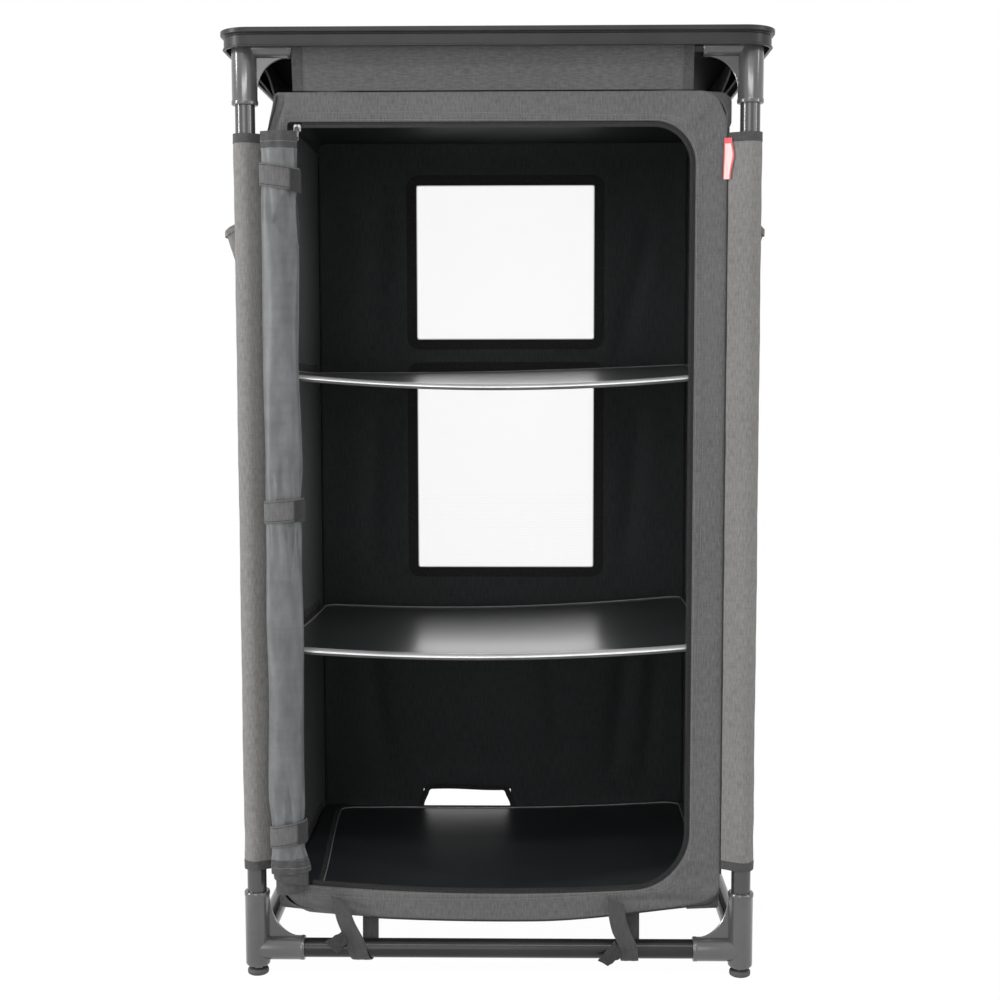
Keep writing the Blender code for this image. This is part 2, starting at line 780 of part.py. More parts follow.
def valances():
    """Cloth looped over each top rail and sewn to the top edge of the box."""
    hole = top_rail_radius + fit_gap
    half = valance_cloth
    seat = box_top + fit_gap + half
    side_reach = leg_y - top_arm_reach - valance_end_gap
    rear_reach = leg_x - top_arm_reach - valance_end_gap
    end = (box_front + cloth / 2, seat)
    loops = ring_with_tail((-leg_y, top_rail_height), hole, valance_cloth, half, end)
    prism("valance_front", loops, front_valance_left, front_valance_right, "YZ", outer_cloth)
    end = (box_rear - cloth / 2, seat)
    loops = ring_with_tail((leg_y, top_rail_height), hole, valance_cloth, half, end)
    prism("valance_rear", loops, -rear_reach, rear_reach, "YZ", outer_cloth)
    for title, side in (("left", -1), ("right", 1)):
        end = (side * (box_half_width - cloth / 2), seat)
        loops = ring_with_tail((side * leg_x, top_rail_height), hole, valance_cloth, half, end)
        prism(f"valance_{title}", loops, -side_reach, side_reach, "XZ", outer_cloth)


# Rolled door
def roll_sizes(z):
    """Half width and half depth of the rolled door at a height: drawn in at each strap."""
    near = min(abs(z - strap) for strap in strap_heights)
    ease = min(1.0, max(0.0, (near - strap_width / 2) / roll_pinch_length))
    ease = ease * ease * (3 - 2 * ease)
    share = roll_pinch_share + (1 - roll_pinch_share) * ease
    return roll_half_width * share, roll_half_depth * share, ease


def rolled_door():
    """A loft of oval rings, waisted under the straps, with shallow folds that turn down it."""
    turns = [2 * math.pi * i / roll_sides for i in range(roll_sides)]
    rows = []
    for j in range(roll_rings + 1):
        z = roll_bottom + (roll_top - roll_bottom) * j / roll_rings
        half_x, half_y, ease = roll_sizes(z)
        flare = roll_hem_flare_share * max(0.0, 1 - (z - roll_bottom) / roll_hem_height)
        for turn in turns:
            fold = roll_fold * ease * math.cos(3 * turn + 9 * math.pi * (z - roll_bottom) / height)
            x = (half_x * (1 + flare) - roll_fold + fold) * math.cos(turn)
            y = (half_y - roll_fold + fold) * math.sin(turn)
            rows.append((roll_x + x, roll_y + y, z))
    faces = []
    for j in range(roll_rings):
        for i in range(roll_sides):
            k = (i + 1) % roll_sides
            low, high = j * roll_sides, (j + 1) * roll_sides
            faces.append((low + i, low + k, high + k, high + i))
    faces.append(tuple(range(roll_sides))[::-1])
    faces.append(tuple(roll_rings * roll_sides + i for i in range(roll_sides)))
    mesh = bpy.data.meshes.new("door_roll")
    mesh.from_pydata(rows, [], faces)
    smooth(mesh)
    keep("door_roll", mesh, door_cloth)
    for title, z in zip(("upper", "middle", "lower"), strap_heights):
        half_x, half_y, ease = roll_sizes(z)
        hole = (half_x + fit_gap, half_y + fit_gap)
        rim = (hole[0] + strap_thickness, hole[1] + strap_thickness)
        loops = [arc((roll_x, roll_y), size, 0, 360, round_steps)[:-1] for size in (rim, hole)]
        strap = (z - strap_width / 2, z + strap_width / 2)
        prism(f"door_strap_{title}", loops, *strap, "XY", webbing)


# Tie straps
def tie_straps():
    """A strap from the front of the hem, under the front rail and up to the cabinet floor."""
    front = box_front - fit_gap - tie_thickness / 2
    wrap = tube_radius + 2 * fit_gap + tie_thickness / 2
    rail = (-leg_y, bottom_rail_height)
    back_top = floor_height - cover_thickness - shelf_sag - tie_back_drop
    line = [(front, tie_top), (front, hem_height - hem_sag)]
    line += arc(rail, (wrap, wrap), 160, 375, round_steps // 2)
    line += [(rail[0] + wrap + tie_back_drop, back_top)]
    for title, x in (("left", tie_left_x), ("right", tie_right_x)):
        item = prism(f"tie_strap_{title}", [strip(line, tie_thickness)], x, x + tie_width, "YZ", webbing)
        for vertex in item.data.vertices:
            vertex.co.x += tie_lean * (tie_top - vertex.co.z) / tie_top


# Side pockets
def pocket_outline(side, reach, gap, low):
    """Front view of a pocket: flat on the wall, its free face leaning out towards the mouth."""
    back = side * (box_half_width + fit_gap)
    points = []
    for i in range(pocket_steps + 1):
        share = i / pocket_steps
        z = low + (pocket_high - low) * share
        depth_here = pocket_root + (reach - pocket_root) * share ** pocket_curve_share
        points.append((back + side * (depth_here - gap), z))
    return back, points


def side_pockets():
    """A gusseted cloth pocket on each side wall, open at its top."""
    for title, side, reach in (("left", -1, pocket_left_reach), ("right", 1, pocket_right_reach)):
        back, face = pocket_outline(side, reach, 0.0, pocket_low)
        outline = [(back, pocket_low)] + face + [(back, pocket_high)]
        pocket = prism(f"side_pocket_{title}", [outline], pocket_front, pocket_back, "XZ", outer_cloth)
        back, face = pocket_outline(side, reach, cloth, pocket_low + cloth)
        wall = back + side * cloth
        above = pocket_high + overrun
        inside = [(wall, face[0][1])] + face + [(face[-1][0], above), (wall, above)]
        space = prism("space", [inside], pocket_front + cloth, pocket_back - cloth, "XZ", None, cutters)
        combine(pocket, [space], "DIFFERENCE")
        mesh = evaluated_mesh(pocket)
        bpy.data.objects.remove(space, do_unlink=True)
        keep(f"side_pocket_{title}", mesh, outer_cloth)


# Zip slider, pull tab and tag
def small_pieces():
    """The slider parked at the top of the zip, its pull resting on the roll, and the tag."""
    half = slider_width / 2
    body = rounded_box(
        slider_x - half, slider_x + half, slider_bottom, slider_bottom + slider_height, (half / 2,) * 4, 2)
    slider_back = wall_front - fit_gap
    slider_face = slider_back - slider_depth
    prism("zip_slider", [body], slider_face, slider_back, "XZ", slider_metal)
    pivot_y = slider_face - fit_gap - pull_thickness / 2
    pivot_z = slider_bottom + slider_height / 2 + pull_thickness
    half = pull_width / 2
    tab = rounded_box(-half, half, -pull_length, half, (half,) * 4, 3)
    hole = circle((0, -pull_length + half), half / 2, 8)
    mesh = prism_mesh([tab, hole], -pull_thickness / 2, pull_thickness / 2, "XY")
    mesh.transform(Matrix.Translation((0, -half, 0)))
    mesh.transform(Matrix.Rotation(math.radians(pull_droop_degrees), 4, "X"))
    pull = keep("zip_pull", mesh, slider_metal)
    pull.location = (slider_x, pivot_y, pivot_z)
    tag = rounded_box(tag_left, tag_right, tag_low, tag_high, (tag_thickness,) * 4, 2)
    tag_back = box_front + cloth / 2 - seam_plies * cloth / 2 - fit_gap
    prism("side_tag", [tag], tag_back - tag_thickness, tag_back, "XZ", tag_cloth)


tabletop()
connectors()
frame_tubes()
levelling_feet()
fabric_box()
shelf("floor", floor_height)
shelf("mid_shelf", mid_shelf_height)
shelf("top_shelf", top_shelf_height)
leg_sleeves()
valances()
rolled_door()
tie_straps()
side_pockets()
small_pieces()
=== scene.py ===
"""Looks of the camping cabinet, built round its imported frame. Metres, +Z up, front towards -Y.

Every new piece is a grid of points worked out with numpy. A grid has rows and columns, and its
faces look along (step to the next column) x (step to the next row).
"""
import math

import bpy
import numpy as np
from mathutils import Matrix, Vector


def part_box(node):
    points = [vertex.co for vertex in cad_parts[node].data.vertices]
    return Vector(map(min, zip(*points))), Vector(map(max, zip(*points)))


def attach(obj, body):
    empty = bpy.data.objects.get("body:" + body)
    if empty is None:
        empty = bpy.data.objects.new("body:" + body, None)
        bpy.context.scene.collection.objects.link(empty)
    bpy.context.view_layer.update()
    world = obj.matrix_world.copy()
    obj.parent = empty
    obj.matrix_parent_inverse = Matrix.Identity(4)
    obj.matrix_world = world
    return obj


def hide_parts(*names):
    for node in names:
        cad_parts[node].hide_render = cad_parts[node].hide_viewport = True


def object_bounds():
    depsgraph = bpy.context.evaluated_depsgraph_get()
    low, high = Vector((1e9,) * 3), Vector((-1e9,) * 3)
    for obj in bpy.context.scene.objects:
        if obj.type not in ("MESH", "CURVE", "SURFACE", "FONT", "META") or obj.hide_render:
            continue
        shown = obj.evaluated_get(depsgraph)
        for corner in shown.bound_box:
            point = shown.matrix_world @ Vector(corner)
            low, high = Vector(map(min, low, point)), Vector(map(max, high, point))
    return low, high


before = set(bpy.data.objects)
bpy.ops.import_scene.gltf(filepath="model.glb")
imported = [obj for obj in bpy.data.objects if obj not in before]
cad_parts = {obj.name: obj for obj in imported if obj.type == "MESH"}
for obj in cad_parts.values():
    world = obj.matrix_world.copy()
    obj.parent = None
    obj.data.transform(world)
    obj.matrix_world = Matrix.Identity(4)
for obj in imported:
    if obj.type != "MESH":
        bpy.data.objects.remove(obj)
cad_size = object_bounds()

TAU = 2 * math.pi
SHARP_ANGLE = math.radians(40)
CORNERS = {"front_left": (-1, -1), "front_right": (1, -1), "rear_left": (-1, 1), "rear_right": (1, 1)}
SIDES = ("front", "rear", "left", "right")
HANDS = {"left": -1, "right": 1}

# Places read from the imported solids
leg_low, leg_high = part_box("leg_front_right")
LEG_X, LEG_Y = (leg_low[0] + leg_high[0]) / 2, -(leg_low[1] + leg_high[1]) / 2
TOP_Z = cad_size[1][2]
BOX_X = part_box("front_panel")[1][0]
BOX_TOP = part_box("front_panel")[1][2]
FACE_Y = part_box("front_panel")[0][1]
REAR_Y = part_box("rear_panel")[1][1]


# Meshes
def unit(a):
    """Vectors divided by their lengths."""
    return a / np.maximum(np.linalg.norm(a, axis=-1, keepdims=True), 1e-12)


def grid_normals(grid):
    """Outward directions of a grid: the cross product of its steps along columns and rows."""
    return unit(np.cross(np.gradient(grid, axis=1), np.gradient(grid, axis=0)))


def metres_along(grid, wrap):
    """Mean distance run along the columns and the rows, as a map in metres."""
    ring = np.concatenate([grid, grid[:, :1]], axis=1) if wrap else grid
    across = np.linalg.norm(np.diff(ring, axis=1), axis=2).mean(axis=0)
    down = np.linalg.norm(np.diff(grid, axis=0), axis=2).mean(axis=1)
    u, v = np.append(0, np.cumsum(across)), np.append(0, np.cumsum(down))
    return np.stack(np.broadcast_arrays(u[None, :], v[:, None]), axis=-1)


def run_along(line):
    """Distance run along a line at each of its points."""
    return np.append(0, np.cumsum(np.linalg.norm(np.diff(line, axis=0), axis=1)))


def shell(grid, wrap=False, ends=False, flip=False, cloth_map=None, part=0):
    """A surface through a grid; wrap joins its last column to the first, and ends closes the
    first and last row with a fan round the row's mean."""
    grid = np.asarray(grid, float)
    rows, columns = grid.shape[:2]
    uv = metres_along(grid, wrap) if cloth_map is None else np.asarray(cloth_map, float)
    if wrap and uv.shape[1] == columns:
        uv = np.concatenate([uv, uv[:, :1]], axis=1)
    i, j = np.meshgrid(np.arange(rows - 1), np.arange(columns if wrap else columns - 1), indexing="ij")
    k = (j + 1) % columns
    row, below = i * columns, (i + 1) * columns
    quads = np.stack([row + j, row + k, below + k, below + j], axis=-1)
    corners = np.stack([uv[i, j], uv[i, j + 1], uv[i + 1, j + 1], uv[i + 1, j]], axis=-2)
    faces = [(quads.reshape(-1, 4), corners.reshape(-1, 4, 2))]
    points = grid.reshape(-1, 3)
    if ends:
        for row, turned in ((0, True), (rows - 1, False)):
            middle = len(points)
            points = np.vstack([points, grid[row].mean(axis=0)])
            a = np.arange(columns)
            b = (a + 1) % columns
            fan = np.stack([row * columns + a, row * columns + b, np.full(columns, middle)], axis=-1)
            flat = np.stack([uv[row, a], uv[row, a + 1], (uv[row, a] + uv[row, a + 1]) / 2], axis=-2)
            faces.append((fan[:, ::-1], flat[:, ::-1]) if turned else (fan, flat))
    if flip:
        faces = [(f[:, ::-1], c[:, ::-1]) for f, c in faces]
    return points, [(f, c, part) for f, c in faces]


def joined(*shells):
    """One shell from several: points that lie together become one."""
    points, faces, start = [], [], 0
    for vertices, groups in shells:
        points.append(vertices)
        faces += [(f + start, c, part) for f, c, part in groups]
        start += len(vertices)
    points = np.concatenate(points)
    first, back = np.unique(np.round(points, 7), axis=0, return_index=True, return_inverse=True)[1:]
    return points[first], [(back.ravel()[f], c, part) for f, c, part in faces]


def cut_away(made, gone):
    """A shell without the faces whose middle lies where gone is true."""
    points, faces = made
    kept = []
    for quads, corners, part in faces:
        stay = ~gone(points[quads].mean(axis=1))
        kept.append((quads[stay], corners[stay], part))
    used = np.unique(np.concatenate([quads.ravel() for quads, corners, part in kept]))
    return points[used], [(np.searchsorted(used, quads), corners, part) for quads, corners, part in kept]


def parted(made, chosen, new_part):
    """A shell whose faces go to another part where chosen is true of their middle and their part."""
    points, faces = made
    groups = []
    for quads, corners, part in faces:
        pick = chosen(points[quads].mean(axis=1), part)
        groups += [(quads[pick], corners[pick], new_part), (quads[~pick], corners[~pick], part)]
    return points, [group for group in groups if len(group[0])]


def thickened(made, thickness, back=1, middle=False):
    """Cloth of even thickness from an open surface: a second side, moved in along the points'
    normals (or half each way when middle is true), and a rim along every open border."""
    points, faces = made
    count = len(points)
    normals, flat, edges = np.zeros_like(points), np.zeros((count, 2)), []
    for quads, corners, part in faces:
        p = points[quads]
        face = np.cross(p[:, 2] - p[:, 0], p[:, -1] - p[:, 1])
        for i in range(quads.shape[1]):
            np.add.at(normals, quads[:, i], face)
            flat[quads[:, i]] = corners[:, i]
            edges.append(np.stack([quads[:, i], quads[:, (i + 1) % quads.shape[1]]], axis=1))
    edges = np.concatenate(edges)
    free = edges[~np.isin(edges[:, 1] * count + edges[:, 0], edges[:, 0] * count + edges[:, 1])]
    away = unit(normals) * thickness
    outer, inner = (points + away / 2, points - away / 2) if middle else (points, points - away)
    a, b = free.T
    rim = np.stack([b, a, a + count, b + count], axis=-1)
    second = [(f[:, ::-1] + count, c[:, ::-1], back) for f, c, part in faces]
    border_faces = (rim, flat[np.stack([b, a, a, b], axis=-1)], faces[0][2])
    return np.vstack([outer, inner]), [*faces, *second, border_faces]


def outward(points, faces):
    """A closed shell with its faces turned outwards: all are reversed when its volume is negative."""
    total = 0
    for quads, corners, part in faces:
        p = points[quads]
        for i in range(1, quads.shape[1] - 1):
            total += (p[:, 0] * np.cross(p[:, i], p[:, i + 1])).sum()
    if total < 0:
        faces = [(f[:, ::-1], c[:, ::-1], part) for f, c, part in faces]
    return points, faces


def turned(profile, center, axis="Z", steps=40, start=0.0, part=0):
    """A profile of (radius, place) turned round an axis; center holds the other two places."""
    profile = np.asarray(profile, float)
    angle = start + np.arange(steps) * TAU / steps
    c, s = np.cos(angle)[None], np.sin(angle)[None]
    r, h = profile[:, :1], np.repeat(profile[:, 1:], steps, axis=1)
    a, b = center[0] + r * c, center[1] + r * s
    if axis == "Z":
        grid = np.stack([a, b, h], axis=-1)
    elif axis == "X":
        grid = np.stack([h, a, b], axis=-1)
    else:
        grid = np.stack([center[0] + r * s, h, center[1] + r * c], axis=-1)
    return shell(grid, wrap=True, ends=True, part=part)


def filleted(points, radius, steps=4, closed=False):
    """A line of points with each corner turned into a quadratic curve that starts radius away."""
    points = np.asarray(points, float)
    count = len(points)
    radii = np.broadcast_to(radius, count)
    line = []
    for i, point in enumerate(points):
        if not closed and i in (0, count - 1) or radii[i] == 0:
            line.append(point[None])
            continue
        before, after = points[i - 1], points[(i + 1) % count]
        reach = [min(radii[i], np.linalg.norm(p - point) * 0.48) for p in (before, after)]
        a = point + unit(before - point) * reach[0]
        b = point + unit(after - point) * reach[1]
        t = np.linspace(0, 1, steps + 1)[:, None]
        line.append((1 - t) ** 2 * a + 2 * t * (1 - t) * point + t * t * b)
    return np.concatenate(line)


def round_section(radius, sides=8):
    """The section of a round cord, with a few sides."""
    angle = np.arange(sides) * TAU / sides
    return radius * np.stack([np.cos(angle), np.sin(angle)], axis=1)


def stood(line, y):
    """An outline of (x, z) stood up at a depth, or at one depth for each point."""
    return np.insert(line, 1, y, axis=1)


def swept(path, section, up=(0, 0, 1), wrap_path=False):
    """A closed section (side, up) carried square along a path of points."""
    path, section = np.asarray(path, float), np.asarray(section, float)
    if wrap_path:
        along = unit(np.roll(path, -1, axis=0) - np.roll(path, 1, axis=0))
    else:
        along = unit(np.gradient(path, axis=0))
    side = unit(np.cross(along, np.broadcast_to(up, path.shape)))
    lift = np.cross(side, along)
    grid = path[:, None] + side[:, None] * section[None, :, :1] + lift[:, None] * section[None, :, 1:]
    if wrap_path:
        grid = np.concatenate([grid, grid[:1]])
    return shell(grid, wrap=True, ends=not wrap_path)


def build(title, shells, materials, node=(), body="cabinet"):
    """One object from closed shells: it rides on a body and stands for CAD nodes."""
    points, faces, uvs, parts, start = [], [], [], [], 0
    for vertices, groups in [outward(*made) for made in shells]:
        for quads, corners, part in groups:
            faces += (quads + start).tolist()
            uvs.append(corners.reshape(-1, 2))
            parts += [part] * len(quads)
        points.append(vertices)
        start += len(vertices)
    mesh = bpy.data.meshes.new(title)
    mesh.from_pydata(np.concatenate(points).tolist(), [], faces)
    layer = mesh.uv_layers.new(name="cloth")
    layer.data.foreach_set("uv", np.concatenate(uvs).ravel())
    materials = materials if isinstance(materials, (list, tuple)) else [materials]
    for material in materials:
        mesh.materials.append(material)
    mesh.polygons.foreach_set("material_index", np.minimum(parts, len(materials) - 1))
    mesh.shade_smooth()
    mesh.set_sharp_from_angle(angle=SHARP_ANGLE)
    piece = bpy.data.objects.new(title, mesh)
    bpy.context.scene.collection.objects.link(piece)
    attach(piece, body)
    nodes = [node] if isinstance(node, str) else list(node)
    if nodes:
        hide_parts(*nodes)
    return piece


# Folds in cloth
def crease(x, z, start, end, width, height):
    """A soft ridge along a line: height times a bell of that width, fading at both its ends."""
    run = np.subtract(end, start)
    length = math.hypot(*run)
    along = ((x - start[0]) * run[0] + (z - start[1]) * run[1]) / length ** 2
    across = ((x - start[0]) * run[1] - (z - start[1]) * run[0]) / length
    fade = np.clip(4 * along * (1 - along), 0, 1) ** 0.7
    return height * np.exp(-(across / width) ** 2) * fade


def with_creases(out, x, z, creases):
    """A relief with several creases added."""
    for start, end, width, height in creases:
        out = out + crease(x, z, start, end, width, height)
    return out


def ripple(a, b, height, scale=0.09, seed=0.0):
    """Broad unevenness: the mean of four sine waves in fixed directions."""
    total = 0
    for i in range(4):
        turn = 0.7 + 2.1 * i + seed
        length = scale * (1 + 0.35 * i)
        total = total + np.sin((a * math.cos(turn) + b * math.sin(turn)) * TAU / length + 5 * turn)
    return height * total / 4


def ease(t):
    """A step from 0 to 1 with level ends."""
    t = np.clip(t, 0, 1)
    return t * t * (3 - 2 * t)


# Materials
def grey(level):
    """Linear colour of a grey given as an sRGB level from 0 to 255."""
    return tint(level, level, level)


def tint(*levels):
    """Linear colour of three sRGB levels from 0 to 255."""
    part = [v / 255 for v in levels]
    return tuple(v / 12.92 if v <= 0.04045 else ((v + 0.055) / 1.055) ** 2.4 for v in part)


def node_maker(tree):
    """A function that adds a node to a tree, sets it up and sets or links its sockets."""
    def add(kind, inputs=None, **settings):
        item = tree.nodes.new("ShaderNode" + kind)
        for key, value in settings.items():
            setattr(item, key, value)
        for key, value in (inputs or {}).items():
            if isinstance(value, bpy.types.NodeSocket):
                tree.links.new(value, item.inputs[key])
            else:
                item.inputs[key].default_value = value
        return item

    return add


def new_material(title, roughness, metallic=0.0, specular=0.5, sheen=0.0, coat=0.0, ior=1.5):
    """A material whose uniform values sit on its shader, with its shader and two helpers."""
    made = bpy.data.materials.new(title)
    made.use_nodes = True
    tree = made.node_tree
    shader = tree.nodes["Principled BSDF"]
    values = {"Roughness": roughness, "Metallic": metallic, "Specular IOR Level": specular,
              "Sheen Weight": sheen, "Coat Weight": coat, "Coat Roughness": 0.25, "Coat IOR": 2.4, "IOR": ior}
    for socket, value in values.items():
        shader.inputs[socket].default_value = value
    return made, shader, node_maker(tree), tree.links.new


def shades(add, factor, dark, light, spread=(0.35, 0.65)):
    """A colour between dark and light that follows a pattern's value."""
    level = add("MapRange", {"Value": factor, "From Min": spread[0], "From Max": spread[1]})
    mix = add("Mix", {"Factor": level.outputs["Result"]}, data_type="RGBA")
    mix.inputs[6].default_value = (*dark, 1)
    mix.inputs[7].default_value = (*light, 1)
    return mix.outputs[2]


def woven(title, dark, light, roughness=0.85, pitch=0.0008, relief=0.25, sheen=0.1, streaks=(560, 60),
          specular=0.3):
    """Woven cloth on its map in metres: long thin streaks along both threads over a fine weave."""
    made, shader, add, link = new_material(title, roughness, sheen=sheen, specular=specular)
    place = add("UVMap", uv_map="cloth").outputs["UV"]
    values = []
    for scale in ((streaks[0], streaks[1], 1), (streaks[1] * 0.8, streaks[0] * 0.8, 1), (9, 7, 1)):
        spread = add("Mapping", {"Vector": place, "Scale": scale})
        noise = add("TexNoise", {"Vector": spread.outputs[0], "Scale": 1.0, "Detail": 2.0, "Roughness": 0.6})
        values.append(noise.outputs["Fac"])
    down = add("Math", {0: values[0], 1: 0.62}, operation="MULTIPLY").outputs[0]
    over = add("Math", {0: values[1], 1: 0.22, 2: down}, operation="MULTIPLY_ADD").outputs[0]
    both = add("Math", {0: values[2], 1: 0.16, 2: over}, operation="MULTIPLY_ADD").outputs[0]
    link(shades(add, both, dark, light, (0.36, 0.64)), shader.inputs["Base Color"])
    turn = add("Mapping", {"Vector": place, "Scale": (TAU / pitch, TAU / pitch, 1)})
    wave = add("VectorMath", {0: turn.outputs[0]}, operation="SINE")
    split = add("SeparateXYZ", {0: wave.outputs[0]})
    weave = add("Math", {0: split.outputs[0], 1: split.outputs[1]}, operation="MULTIPLY")
    height = add("Math", {0: both, 1: 1.6, 2: weave.outputs[0]}, operation="MULTIPLY_ADD")
    bump = add("Bump", {"Height": height.outputs[0], "Strength": relief, "Distance": 0.0002})
    link(bump.outputs[0], shader.inputs["Normal"])
    return made


def moulded(title, dark, light, roughness=0.45, grain=900.0, relief=0.12, metallic=0.0, specular=0.5,
            coat=0.0, ior=1.5):
    """Moulded plastic, vinyl or paint: faint clouds of colour under a fine grain."""
    made, shader, add, link = new_material(title, roughness, metallic, specular, coat=coat, ior=ior)
    place = add("TexCoord").outputs["Object"]
    cloud = add("TexNoise", {"Vector": place, "Scale": 14.0, "Detail": 4.0, "Roughness": 0.6})
    link(shades(add, cloud.outputs["Fac"], dark, light), shader.inputs["Base Color"])
    fine = add("TexNoise", {"Vector": place, "Scale": grain, "Detail": 2.0})
    bump = add("Bump", {"Height": fine.outputs["Fac"], "Strength": relief, "Distance": 0.0002})
    link(bump.outputs[0], shader.inputs["Normal"])
    return made


MELANGE = (640, 105)
outer_cloth = woven("outer_melange_cloth", grey(76), grey(98), streaks=MELANGE)
# A darker copy of the outer cloth for the valances: painted shade under the tabletop's rim.
valance_cloth_painted_shade = woven("valance_melange_cloth_painted_shade", grey(68), grey(89), streaks=MELANGE)
sleeve_cloth = woven("sleeve_melange_cloth", tint(100, 99, 98), tint(125, 124, 122), streaks=MELANGE)
coated_face = dict(roughness=0.5, relief=0.12, sheen=0.0)
lining = woven("black_lining", tint(45, 47, 48), tint(58, 60, 61), specular=0.1, **coated_face)
# A lighter copy of the black lining for the inside of the side walls: painted light where light falls in
# through the door onto them.
side_lining_painted_light = woven("side_lining_painted_light", tint(82, 84, 85), tint(98, 100, 101), specular=0.4, **coated_face)
binding = woven("edge_binding", grey(58), grey(74), pitch=0.0012, relief=0.5, streaks=(300, 300))
door_cloth = woven("door_coated_face", tint(82, 83, 84), tint(98, 100, 101), roughness=0.45, relief=0.06,
                   streaks=(160, 30))
strap_weave = woven("strap_webbing", grey(80), grey(96), pitch=0.0016, relief=0.6, streaks=(400, 60))
tie_weave = woven("tie_webbing", grey(60), grey(74), pitch=0.0016, relief=0.6, streaks=(400, 60))
fuzz = woven("strap_loop_face", grey(40), grey(62), pitch=0.0011, relief=1.0, streaks=(500, 500))
tape_weave = woven("zip_tape_weave", grey(32), grey(46), pitch=0.001, relief=0.4, streaks=(300, 300))
hem_tape = woven("black_hem_tape", grey(16), grey(34), pitch=0.0011, relief=0.6, streaks=(300, 300))


def netting(title, color, pitch, thread_share):
    """Open net: threads both ways on the map in metres, and clear between them."""
    made, shader, add, link = new_material(title, 0.8)
    shader.inputs["Base Color"].default_value = (*color, 1)
    place = add("UVMap", uv_map="cloth").outputs["UV"]
    turn = add("Mapping", {"Vector": place, "Scale": (1 / pitch, 1 / pitch, 1)})
    cell = add("VectorMath", {0: turn.outputs[0]}, operation="FRACTION")
    split = add("SeparateXYZ", {0: cell.outputs[0]})
    near = [add("Math", {0: split.outputs[i], 1: thread_share}, operation="LESS_THAN") for i in (0, 1)]
    either = add("Math", {0: near[0].outputs[0], 1: near[1].outputs[0]}, operation="MAXIMUM")
    link(either.outputs[0], shader.inputs["Alpha"])
    return made


net_cloth = netting("window_net", grey(245), pitch=0.0022, thread_share=0.03)
tag_red = woven("side_tag_red", tint(206, 88, 94), tint(226, 108, 112), relief=0.3)
tag_pale = woven("side_tag_pale", tint(230, 192, 190), tint(243, 214, 211), relief=0.3)
thread = woven("seam_thread", grey(104), grey(132), pitch=0.0005, relief=0.3)
connector_plastic = moulded("moulded_connector", grey(68), grey(78), roughness=0.2, specular=0.85)
powder_coat = dict(relief=0.06, metallic=0.3)
# Legs and rails share one powder coat; the rails take a darker, less shiny copy of it: painted shade from the
# box above them.
leg_paint = moulded("powder_coated_leg", grey(58), grey(68), roughness=0.2, specular=0.9, **powder_coat)
rail_paint_painted_shade = moulded("powder_coated_rail_painted_shade", grey(38), grey(45), roughness=0.22, specular=0.35, **powder_coat)
rim_plastic = moulded("edge_trim_plastic", grey(42), grey(50), roughness=0.34, relief=0.06, specular=0.2)
laminate = moulded("tabletop_laminate", grey(60), grey(70), roughness=0.5, grain=1400.0, relief=0.3)
smooth = dict(grain=500.0, relief=0.02)
glossy = dict(roughness=0.3, specular=1.0, coat=1.0, **smooth)
vinyl = moulded("shelf_vinyl", tint(20, 23, 24), tint(27, 30, 31), ior=2.0, **glossy)
floor_vinyl = moulded("floor_vinyl", tint(46, 49, 51), tint(52, 55, 57), roughness=0.4, specular=0.4,
                      **smooth)
# A pale grey copy of the black shelf vinyl for the upper shelves' rolled front edge: a painted highlight
# along it.
edge_vinyl_painted_highlight = moulded("shelf_edge_painted_highlight", grey(172), grey(192), **glossy)
piping = moulded("shelf_piping", grey(58), grey(82), roughness=0.5, specular=0.3)
edge_cord = moulded("shelf_edge_cord", grey(140), grey(168), roughness=0.35)
fibre_board = moulded("shelf_fibreboard", tint(120, 96, 66), tint(140, 112, 78), roughness=0.8, relief=0.4)
zinc = moulded("zip_metal", grey(128), grey(160), roughness=0.25, metallic=1.0)
dark_zinc = moulded("zip_pull_metal", grey(76), grey(104), roughness=0.3, metallic=1.0)
foot_rubber = moulded("foot_rubber", grey(58), grey(70), roughness=0.6)
coil_nylon = moulded("zip_coil_nylon", grey(30), grey(44), roughness=0.35)


# Camera and lamps
def placement(side, up, back, place):
    """The matrix of an object with these three axes at a place."""
    rows = np.vstack([np.c_[side, up, back, place], [0, 0, 0, 1]])
    return Matrix(rows.tolist())


# Camera: fitted to about forty edges of the photograph
eye = np.array([0.0308, -1.9753, 0.7008])
yaw, pitch, roll = 0.0161, 0.0904, -0.0016
ahead = np.array([-math.sin(yaw) * math.cos(pitch), math.cos(yaw) * math.cos(pitch), -math.sin(pitch)])
right = np.array([math.cos(yaw), math.sin(yaw), 0])
above = np.cross(right, ahead)
right, above = (right * math.cos(roll) + above * math.sin(roll),
                above * math.cos(roll) - right * math.sin(roll))
view = bpy.data.cameras.new("photo_view")
view.lens, view.sensor_width, view.clip_start = 57.258, 36.0, 0.05
camera = bpy.data.objects.new("photo_view", view)
bpy.context.scene.collection.objects.link(camera)
camera.matrix_world = placement(right, above, -ahead, eye)
bpy.context.scene.camera = camera


# Light: a soft studio, with a strong narrow strip at the left
def lamp(title, place, aim, size, power):
    """An area lamp at a place, turned towards a point."""
    data = bpy.data.lights.new(title, "AREA")
    data.shape, data.size, data.size_y, data.energy = "RECTANGLE", size[0], size[1], power
    item = bpy.data.objects.new(title, data)
    bpy.context.scene.collection.objects.link(item)
    toward = unit(np.subtract(aim, place))
    across = unit(np.cross(toward, (0, 0, 1)))
    item.matrix_world = placement(across, np.cross(across, toward), -toward, place)


MIDDLE = (0, -0.1, 0.55)
lamp("strip_right", (2.1, -1.0, 0.9), MIDDLE, (0.12, 2.2), 15)
lamp("strip_left", (-2.1, -0.9, 0.9), MIDDLE, (0.2, 2.2), 46)
lamp("key_right", (2.2, -2.1, 1.0), MIDDLE, (1.5, 1.5), 12)
lamp("front_high", (0, -1.9, 2.4), (0, -0.2, 0.6), (1.6, 0.25), 14)
lamp("front_soft", (-0.6, -2.9, 1.2), (0, 0, 0.5), (1.4, 1.8), 18)


